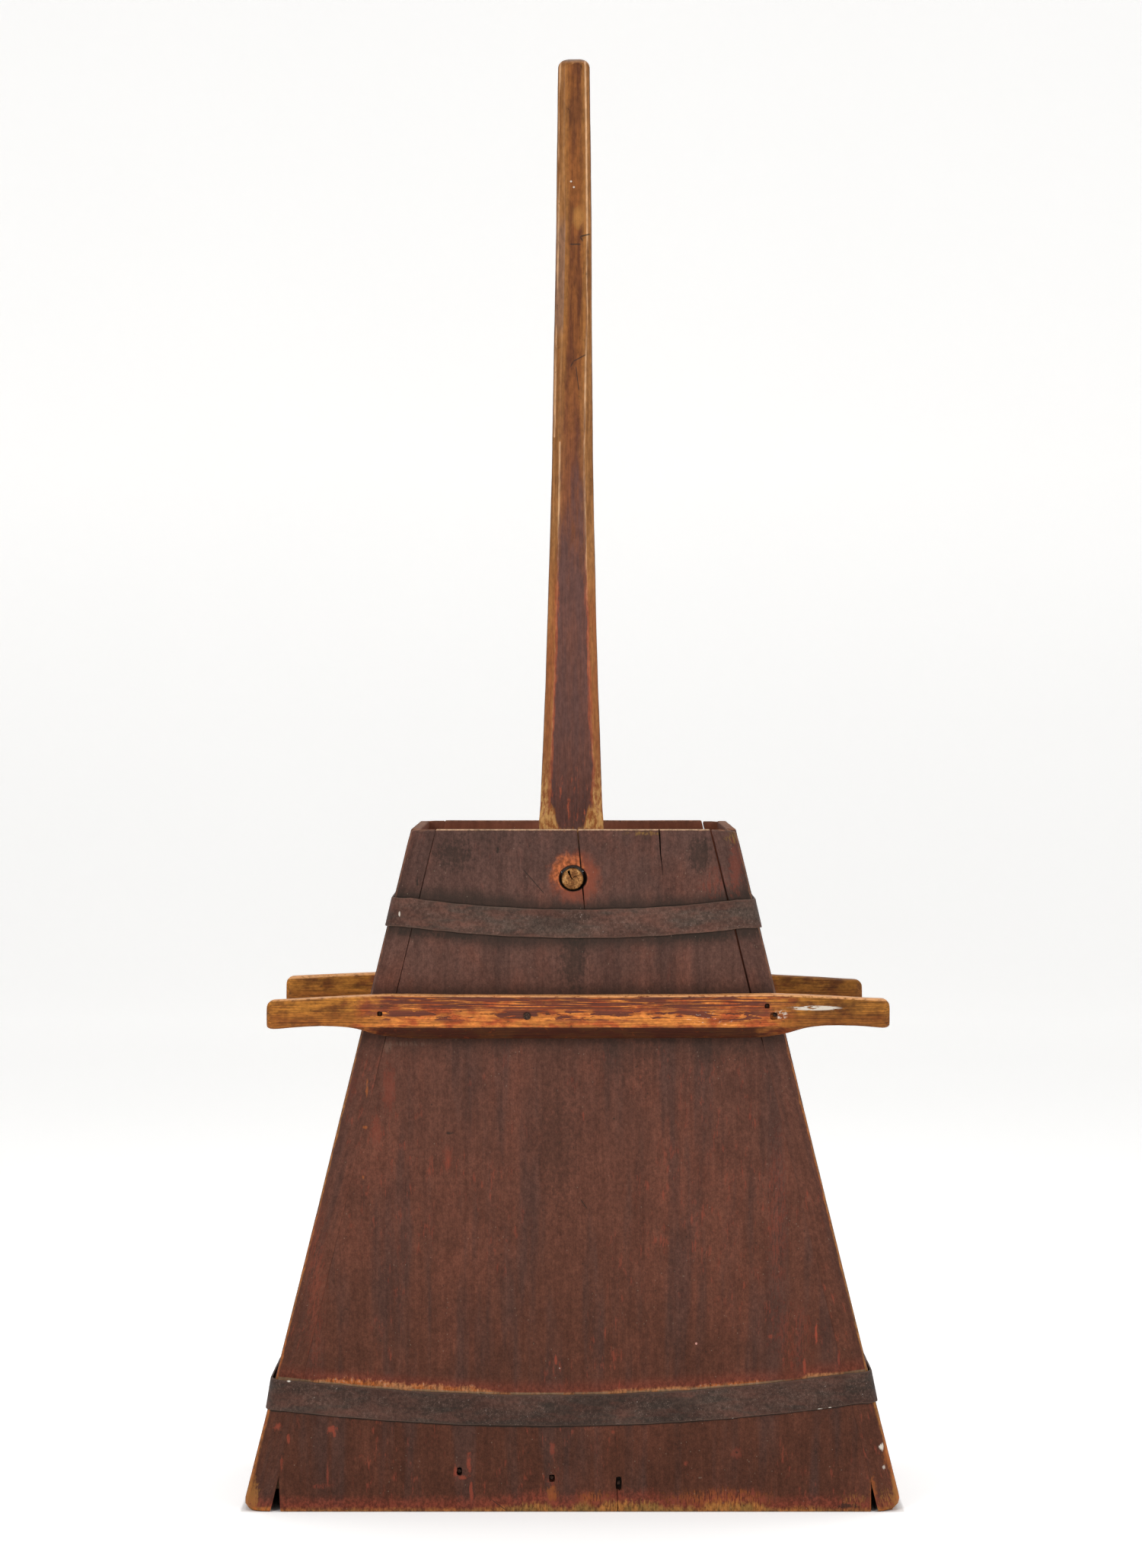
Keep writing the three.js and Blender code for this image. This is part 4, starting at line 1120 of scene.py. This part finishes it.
def long_face(face, looks):
    """The two boards and two corner staves of the front or the back."""
    front = face == "front"
    place = front_place if front else back_place
    cutters = face_cutters(front)
    for index, tag in enumerate(("left", "right")):
        seed = index + (1 if front else 5)
        name = tag if front else OTHER_SIDE[tag]
        board = upright(f"{face}_{name}_board_wood", board_section(face, tag), [3, 3, 2, 2],
                        [34, 2, 34, 2], place)
        wear(board, seed, hollow=0.28)
        carve(board, cutters)
        mark(board, "edge", rim_and_foot_distance(coords_mm(board)))
        finish_piece(board, f"{face}_board_{name}", "vessel",
                     looks["front" if front else "board"])

        stave = upright(f"{face}_{name}_corner_wood", stave_section(face, tag), [3, 8, 2, 2, 4, 2],
                        [3, 3, 2, 3, 3, 2], mirrored(place) if tag == "left" else place, end_radius=1.6)
        wear(stave, seed + 11, hollow=0.25)
        dub(stave)
        chip(stave, stave_edge_distance, seed)
        mark(stave, "edge", stave_edge_distance(coords_mm(stave)))
        finish_piece(stave, f"corner_stave_{face}_{name}", "vessel", looks[f"stave_{name}"])
    discard(cutters)


def side_boards(looks):
    for seed, name, place in ((21, "right", front_place), (22, "left", back_place)):
        piece = upright(f"{name}_side_wood", side_section(name), [2, 2, 2, 2], [2, 26, 2, 26], place,
                        end_radius=1.6)
        wear(piece, seed)
        mark(piece, "edge", rim_and_foot_distance(coords_mm(piece)))
        finish_piece(piece, f"side_board_{name}", "vessel", looks[f"stave_{name}"])


# ---- Hoops ----
def strap_stations(hoop):
    """Stations round a hoop: places across and along the vessel, quarter turns, and how far it is lifted."""
    flat = half_width(hoop["height"]) - CORNER_RADIUS
    start, lap, ramp = hoop["lap_start"] / flat, LAP / flat, RAMP / flat
    over = STRAP_THICKNESS + STRAP_GAP
    corners = [(start, 1, 0, 0), (1, 1, 0, 0), (1, 1, 1, 0), (1, -1, 1, 0), (1, -1, 2, 0), (-1, -1, 2, 0),
               (-1, -1, 3, 0), (-1, 1, 3, 0), (-1, 1, 4, 0), (start - ramp, 1, 4, 0), (start, 1, 4, over),
               (start + lap, 1, 4, over)]
    counts = [22, 7, 28, 7, 90, 7, 28, 7, 26, 3, 10]  # stations from each corner to the next
    for count, first, last in zip(counts, corners, corners[1:]):
        for k in range(count):
            yield [a + (b - a) * k / count for a, b in zip(first, last)]
    yield list(corners[-1])


def strap_height(hoop, cx, cy):
    """The height of a hoop's middle line. It sags across the long faces, and bows up over the sides."""
    return hoop["height"] + hoop["tilt"] * cx - hoop["sag"] * (1 - cx * cx) + SIDE_RISE * (1 - cy * cy)


def hoop_piece(node):
    """A strap bent round the vessel, lapped at the back, standing off the wood at the front corners."""
    hoop = HOOPS[node]
    half = hoop["width"] / 2
    shape = outline([(0, -half), (STRAP_THICKNESS, -half), (STRAP_THICKNESS, half), (0, half)],
                    [0.3, 0.8, 0.8, 0.3], [2, 3, 3, 2], [1, 8, 1, 4])
    rings = []
    for cx, cy, turns, lift in strap_stations(hoop):
        angle = math.pi / 2 * (1 - turns)
        near = max(0, 1 - (1 - abs(cx)) / STRAP_FADE) * (1 - cy) / 2 * hoop["lift"][0 if cx < 0 else 1]
        middle = strap_height(hoop, cx, cy)
        ring = []
        for out, up in shape:
            z = middle + up
            share = up / (2 * half) + 0.5
            at = Vector((cx * 7, cy * 7, turns))
            ragged = 0.5 * noise.noise(at * 2.3) * (1 if up > 0 else -1) * (abs(up) > half - 1)
            r = CORNER_RADIUS + STRAP_GAP + lift + out
            x = cx * (half_width(z) - CORNER_RADIUS) + (r + 0.5 * near * share) * math.cos(angle)
            y = cy * (OUTER_Y - CORNER_RADIUS) + (r + near * share) * math.sin(angle)
            ring.append((x, y, z + ragged))
        rings.append(settled(np.array(ring)))
    piece = loft(f"{node}_iron", rings)
    count = len(rings[0])
    along = np.tile([half - abs(up) for _, up in shape], len(rings))
    ends = np.minimum(np.arange(len(rings)), np.arange(len(rings))[::-1]).repeat(count) * 5.0
    mark(piece, "edge", np.minimum(along, ends))
    return piece


def hoops(looks):
    for node in HOOPS:
        finish_piece(hoop_piece(node), node, "vessel", looks["iron"], sharp=50)
    for node in HOOPS:
        for index in (1, 2):
            rivet(f"{node}_rivet_{index}", looks["nail"])


def rivet(node, look):
    """A hand-closed rivet: a slightly lopsided domed head on its shank."""
    low, high = box_mm(node)
    x, z = (low[0] + high[0]) / 2, (low[2] + high[2]) / 2
    head = (high[0] - low[0]) / 2
    shank, top = low[1], high[1]
    steps = [(shank, 2.8), (top - 2.3, 2.8), (top - 2.2, head * 0.96), (top - 1.9, head),
             (top - 1.3, head * 0.88), (top - 0.6, head * 0.62), (top - 0.12, head * 0.3),
             (top - 0.05, head * 0.08)]
    rings = [ring_on_y(x, y, z, 20, lambda a: r * (1 - 0.05 * (0.5 + 0.5 * round_noise(a, 2, x))))
             for y, r in steps]
    finish_piece(loft(f"{node}_head", rings), node, "vessel", look, sharp=60)


# ---- Nails ----
def nail_piece(node, sunk, look, seed):
    """A wrought nail: four hammer facets on its head, and a tapering square shank."""
    low, high = box_mm(node)
    x, z = (low[0] + high[0]) / 2, (low[2] + high[2]) / 2
    half = (high[0] - low[0]) / 2
    tip, crown = (low[1], high[1]) if "back" in node else (high[1], low[1])
    way = 1 if tip > crown else -1
    height = 1.5 if sunk else 2.6

    def head_radius(a):
        square = 1 / max(abs(math.cos(a)), abs(math.sin(a))) ** 0.55
        return half * share * min(square, 1.12) * (0.93 + 0.07 * round_noise(a, 1.5, seed * 3.1)) / 1.12

    rings = []
    for depth, share in [(0.0, 0.28), (height * 0.35, 0.72), (height * 0.75, 0.98), (height, 0.9)]:
        rings.append(ring_on_y(x, crown + way * depth, z, 12, head_radius))
    for y, r in ((crown + way * height, 1.9), (tip, 0.9)):
        rings.append(ring_on_y(x, y, z, 12, lambda a: r))
    if way < 0:
        rings = [ring[::-1] for ring in rings]
    finish_piece(loft(f"{node}_iron", rings), node, "vessel", look, sharp=30)


def nails(looks):
    for seed, node in enumerate(sorted(n for n in frame["nodes"] if "nail" in n)):
        low, high = box_mm(node)
        sunk = high[0] - low[0] < 7
        nail_piece(node, sunk, looks["nail"], seed)


# ---- Carrying rails ----
def rail_profile(x):
    """Top, bottom and front-bottom chamfer of the rail at a distance from its middle."""
    far = abs(x) - (2.5 if x > 0 else -2.5)
    top = RAIL_HIGH[2] - np.interp(far, *zip(*RAIL_DROP))
    bottom = RAIL_LOW[2] + np.interp(far, *zip(*RAIL_RISE))
    chamfer = 2.5 + (RAIL_CHAMFER - 2.5) * (1 - smooth((far - 192) / 30))
    return top, bottom, chamfer


def rail_piece(face, look):
    low, high = box_mm(f"{face}_rail")
    front = face == "front"
    centre, length = (low[0] + high[0]) / 2, high[0] - low[0]
    if front:
        centre, length = centre + FRONT_RAIL_SHIFT, length + FRONT_RAIL_SPARE
    y_out, y_in = (low[1], high[1]) if front else (-high[1], -low[1])
    rings = []
    for s, inset in stations(length, 4.0, 7.5, 8):
        x = s - length / 2
        top, bottom, chamfer = rail_profile(x)
        sink = RAIL_TILT[face] * x - (0 if front else BACK_GRIP_DROP * smooth((abs(x) - 150) / 60))
        top, bottom = top + sink - inset * 0.9, bottom + sink + inset * 0.45
        soft = 1.3 + 2.6 * smooth((abs(x) - 205) / 45)
        # The section in y and height, counter-clockwise as seen along +X.
        front_y, back_y = y_out + inset * 0.5, y_in - inset * 0.5
        corners = [(front_y + chamfer, bottom), (back_y, bottom), (back_y, top), (front_y, top),
                   (front_y, bottom + chamfer)]
        cuts = [min(1.2, chamfer / 3), soft, soft, soft, min(1.2, chamfer / 3)]
        section = outline(corners, cuts, [2, 3, 3, 3, 2], [6, 10, 6, 10, 3])
        ring = np.column_stack([np.full(len(section), x), section])
        rings.append((ring if front else turned(ring)) + np.array([centre, 0, 0]))
    piece = loft(f"{face}_rail_wood", rings)
    wear(piece, 31 if front else 32, hollow=0.5, size=30.0, fine=0.18)
    cutters = []
    for i, (x, z, wide, tall) in enumerate(RAIL_WELLS):
        deep = 3.0 if i == 1 else SUNK_DEPTH + 1.2
        y0, y1 = -OUTER_Y - 26, -OUTER_Y - 22.3 + deep
        cutter = nail_well(f"cut_rail_nail_{i}", wide, tall, x, z, y0, y1, i + 7)
        if not front:
            set_coords_mm(cutter, turned(coords_mm(cutter)))
        cutters.append(cutter)
    carve(piece, cutters)
    discard(cutters)

    points = coords_mm(piece)
    x = points[:, 0] - centre
    tops, bottoms, chamfers = np.array([rail_profile(v) for v in x]).T
    up = np.minimum(tops - points[:, 2], np.abs(points[:, 2] - bottoms - chamfers))
    mark(piece, "edge", np.maximum(np.minimum(up, length / 2 - np.abs(x)), 0))
    finish_piece(piece, f"{face}_rail", "vessel", look)


# ---- The lever, its peg and the dasher ----
# Sections of the lever: height, width, thickness, left chamfer, right chamfer.
LEVER_TABLE = np.array([
    (62, 44, 40, 2, 2), (400, 46, 40, 2, 2), (590, 66, 42, 1.5, 1.5), (698, 66, 42, 1.5, 1.5),
    (702, 65.4, 42, 2.5, 2.5), (709, 64.2, 42, 5.5, 5), (716, 63.4, 42, 8, 7), (724, 62.9, 42, 9.4, 8.4),
    (760, 60.2, 41, 9.6, 8.6), (840, 54.0, 39, 9.6, 9.6), (920, 49.3, 37, 9.6, 9.6), (1000, 45.3, 36, 9, 9.6),
    (1081, 41.4, 34.5, 8, 9.6), (1160, 39.6, 33, 7.5, 7.5), (1242, 37.4, 32, 9, 5), (1322, 35.6, 31, 9, 4.6),
    (1402, 34, 30, 7, 4.6), (1482, 31.8, 29, 6.5, 4.6), (1500, 31.2, 28.6, 6.5, 4.6)])
LEVER_FOOT = LEVER_TABLE[0, 0]
DOME_RADIUS = 10.0  # of the lever's rounded top
LEVER_SWELL = 0.8  # how much wider the lever is than its table, on each side


def lever_at(z):
    return [np.interp(z, LEVER_TABLE[:, 0], LEVER_TABLE[:, k]) for k in (1, 2, 3, 4)]


def lever_lean(z):
    return float(np.interp(z, [PIVOT, 700, 1000, 1240, 1320, LEVER_TOP], [-0.6, -1.2, -0.2, 0.8, 1.5, 1.5]))


def lever_piece(look):
    heights = list(np.arange(LEVER_FOOT, 696, 8.0)) + list(np.arange(696, 730, 2.0))
    heights += list(np.arange(730, LEVER_TOP - DOME_RADIUS, 6.0))
    heights += [LEVER_TOP - DOME_RADIUS + DOME_RADIUS * math.sin(a) for a in np.linspace(0, math.pi / 2, 8)]
    rings = []
    for z in heights:
        width, thickness, left, right = lever_at(z)
        above = clamp((z - LEVER_TOP + DOME_RADIUS) / DOME_RADIUS)
        inset = DOME_RADIUS * (1 - math.sqrt(max(0.0, 1 - above ** 2)))
        a, b = width / 2 + LEVER_SWELL - inset, thickness / 2 - inset
        l, r = [min(c - inset * 0.3, a * 0.62, b * 0.62) for c in (left, right)]
        corners = [(a - r, -b), (a, -b + r), (a, b - r), (a - r, b), (l - a, b), (-a, b - l), (-a, -b + l),
                   (l - a, -b)]
        soft = [min(1.4, min(l, r) / 3)] * 8
        plan = outline(corners, soft, [2] * 8, [4, 5, 4, 8, 4, 5, 4, 8])
        rings.append(np.column_stack([plan[:, 0] + lever_lean(z), plan[:, 1], np.full(len(plan), z)]))
    piece = loft("lever_wood", rings)
    wear(piece, 41, hollow=0.55, size=26.0, fine=0.2)
    cutters = [drum("cut_bore", PEG_RADIUS + 0.3, 0, PIVOT, -40, 40, flare=0.0)]
    for index in range(1, 5):
        low, high = box_mm(f"dasher_slat_{index}")
        cutters.append(block(f"cut_mortise_{index}", low - 0.3, high + 0.3))
    carve(piece, cutters)
    discard(cutters)
    points = coords_mm(piece)
    widths, thick, left, right = lever_at(points[:, 2])
    aside = points[:, 0] - np.array([lever_lean(z) for z in points[:, 2]])
    chamfers = np.where(aside < 0, left, right)
    aside = np.abs(aside)
    inward = widths / 2 + LEVER_SWELL - np.where(points[:, 2] < 730, 9.6, chamfers) - aside
    depth = thick / 2 - np.abs(points[:, 1])
    mark(piece, "inward", inward)
    mark(piece, "facet", np.where((inward < 0.3) | (depth > 1.0), 1.0, 0.0))
    flank = widths / 2 + LEVER_SWELL - aside
    mark(piece, "flank", np.where(points[:, 2] > 735, flank, 9.0))
    leftwards = points[:, 0] < 0
    arris = np.where(leftwards & (points[:, 2] > 1100), np.abs(flank - 2.2), np.abs(flank - chamfers))
    mark(piece, "edge", np.where(points[:, 2] > 722, arris, 9.0))
    finish_piece(piece, "lever", "lever", look)


def block(name, low, high):
    (x0, y0, z0), (x1, y1, z1) = low, high
    rings = [np.array([(x0, y0, z), (x1, y0, z), (x1, y1, z), (x0, y1, z)]) for z in (z0, z1)]
    return loft(name, rings)


def end_split(y, way, angle, reach, width):
    """A cutter for a dry split in the end of the peg, from near its middle outwards."""
    ux, uz = math.cos(angle), math.sin(angle)
    rings = []
    for depth, share in ((-1.0, 1.0), (2.6, 0.25)):
        ring = []
        for end, half in ((-0.25, width / 2), (1.0, width / 8)):
            cx, cz, h = ux * reach * end, uz * reach * end, half * share
            ring.append((cx - uz * h, y + way * depth, PIVOT + cz + ux * h))
            ring.append((cx + uz * h, y + way * depth, PIVOT + cz - ux * h))
        rings.append(np.array([ring[0], ring[1], ring[3], ring[2]]))
    return loft("cut_split", rings if way > 0 else rings[::-1])


def peg_piece(look):
    """The peg, whittled round, with worn ends and a split across each end."""
    y0, y1 = PEG_LOW[1] + PEG_SUNK, PEG_HIGH[1]
    rings = []
    for s, inset in stations(y1 - y0, 6.0, 1.6, 3):
        rings.append(ring_on_y(0, y0 + s, PIVOT, 40,
                               lambda a: PEG_RADIUS + 0.25 * round_noise(a, 2.2, s / 90) - inset))
    piece = loft("peg_wood", rings)
    cutters = [end_split(y, way, *split) for y, way in ((y0, 1), (y1, -1))
               for split in ((2.2, 9.0, 0.7), (-0.6, 6.5, 0.55), (0.9, 5.0, 0.4))]
    carve(piece, cutters)
    discard(cutters)
    finish_piece(piece, "axle_peg", "peg", look)


# Pieces that keep their CAD shape: material, and the axis that the grain runs along.
PLAIN_WOOD = {"dasher_slat": ("slat_wood", (0, 1, 0)), "dasher_stile": ("stile_wood", (0, 0, 1)),
              "dasher_pin": ("pin_wood", (1, 0, 0)), "floor_board": ("floor_wood", (1, 0, 0))}


def plain_nodes():
    """CAD nodes whose shape is right keep it, with softened edges and a material."""
    for kind, (name, along) in PLAIN_WOOD.items():
        look = inner_look(name, along)
        for node, made in frame["nodes"].items():
            if not node.startswith(kind):
                continue
            made.data.materials.clear()
            made.data.materials.append(look)
            soft = made.modifiers.new("softened", "BEVEL")
            soft.width = 1.0 * MM
            soft.segments = 2
            soft.limit_method = "ANGLE"
            soft.angle_limit = math.radians(40)


# ---- The studio ----
def softbox(name, place, target, side, power):
    light = bpy.data.lights.new(name, "AREA")
    light.shape = "RECTANGLE"
    light.size, light.size_y = side, side
    light.energy = power
    lamp = bpy.data.objects.new(name, light)
    lamp.location = place
    lamp.rotation_euler = (Vector(target) - Vector(place)).to_track_quat("-Z", "Y").to_euler()
    bpy.context.scene.collection.objects.link(lamp)


def studio():
    scene = bpy.context.scene
    scene.view_settings.view_transform = "Standard"
    world = bpy.data.worlds.new("studio_air")
    scene.world = world
    world.use_nodes = True
    world.node_tree.nodes["Background"].inputs["Color"].default_value = (1.0, 0.995, 0.985, 1)
    world.node_tree.nodes["Background"].inputs["Strength"].default_value = 0.45

    # The floor runs back and curves up into a wall.
    width, depth_front, depth_back, bend, rise = 12000.0, -7000.0, 7500.0, 1500.0, 6000.0
    profile = [(depth_front, 0.0), (0.0, 0.0), (depth_back - bend, 0.0)]
    for k in range(1, 13):
        a = math.pi / 2 * k / 12
        profile.append((depth_back - bend + bend * math.sin(a), bend - bend * math.cos(a)))
    profile.append((depth_back, rise))
    points, faces = [], []
    for y, z in profile:
        points += [(-width, y, z - 0.05), (width, y, z - 0.05)]
    for k in range(len(profile) - 1):
        faces.append((2 * k, 2 * k + 1, 2 * k + 3, 2 * k + 2))
    sweep = mesh_object("studio_sweep", points, faces)
    sweep.data.shade_smooth()
    look = Look("studio_paper")
    paper = look.shade((0.90, 0.895, 0.885), 0.985, 1.015, look.noise((900, 900, 900), 1, 2.0))
    relief = look.bump(look.noise((8, 8, 8), 2), 0.05)
    sweep.data.materials.append(look.finish(paper, 0.9, relief, specular=0.1))
    look.surface.inputs["Emission Color"].default_value = (1.0, 1.0, 1.0, 1.0)
    # The paper glows evenly as if lit from behind; the glow is cut out under and just round the vessel's
    # foot, which paints a dark contact shadow there.
    out_x = look.minus(look.size(look.x), BASE_HALF - 1.0)
    out_y = look.minus(look.size(look.y), OUTER_Y - 1.0)
    clear = look.fade(look.most(out_x, out_y), 0.5, 4.0)
    look.feed(look.surface.inputs["Emission Strength"], look.product(clear, 0.34))

    softbox("key", (-2.3, -3.1, 2.6), (0, 0, 0.6), 1.6, 66)
    softbox("fill", (2.6, -2.6, 1.7), (0, 0, 0.6), 1.8, 44)
    softbox("top", (0.2, 0.6, 3.6), (0, 0, 0.4), 2.4, 42)


def camera():
    """The eye is about 4.2 m in front, a little above the rim, level, with its lens shifted down."""
    focal_share = 5232.0 / 2059.0
    data = bpy.data.cameras.new("eye")
    data.sensor_width = 36.0
    data.lens = 36.0 * focal_share
    data.clip_end = 60.0
    eye = bpy.data.objects.new("eye", data)
    eye.location = (-0.0015, -4.2, 0.831)
    eye.rotation_euler = (math.pi / 2, 0, 0)
    data.shift_y = -0.057
    bpy.context.scene.collection.objects.link(eye)
    bpy.context.scene.camera = eye


# ---- Everything ----
camera()
studio()
looks = {
    "front": paint_look("front_paint", side=0),
    "board": paint_look("back_paint"),
    "stave_right": paint_look("right_stave_paint", lean=SLOPE, worn=1.6, side=1),
    "stave_left": paint_look("left_stave_paint", lean=-SLOPE, worn=1.6, side=-1),
    "iron": iron_look("hoop_rust"),
    "nail": nail_look("nail_rust"),
}
long_face("front", looks)
long_face("back", looks)
side_boards(looks)
hoops(looks)
nails(looks)
rail_piece("front", rail_look("front_rail_wear", 0))
rail_piece("back", rail_look("back_rail_wear", 20))
lever_piece(lever_look("lever_wear"))
peg_piece(peg_look("peg_wear"))
plain_nodes()
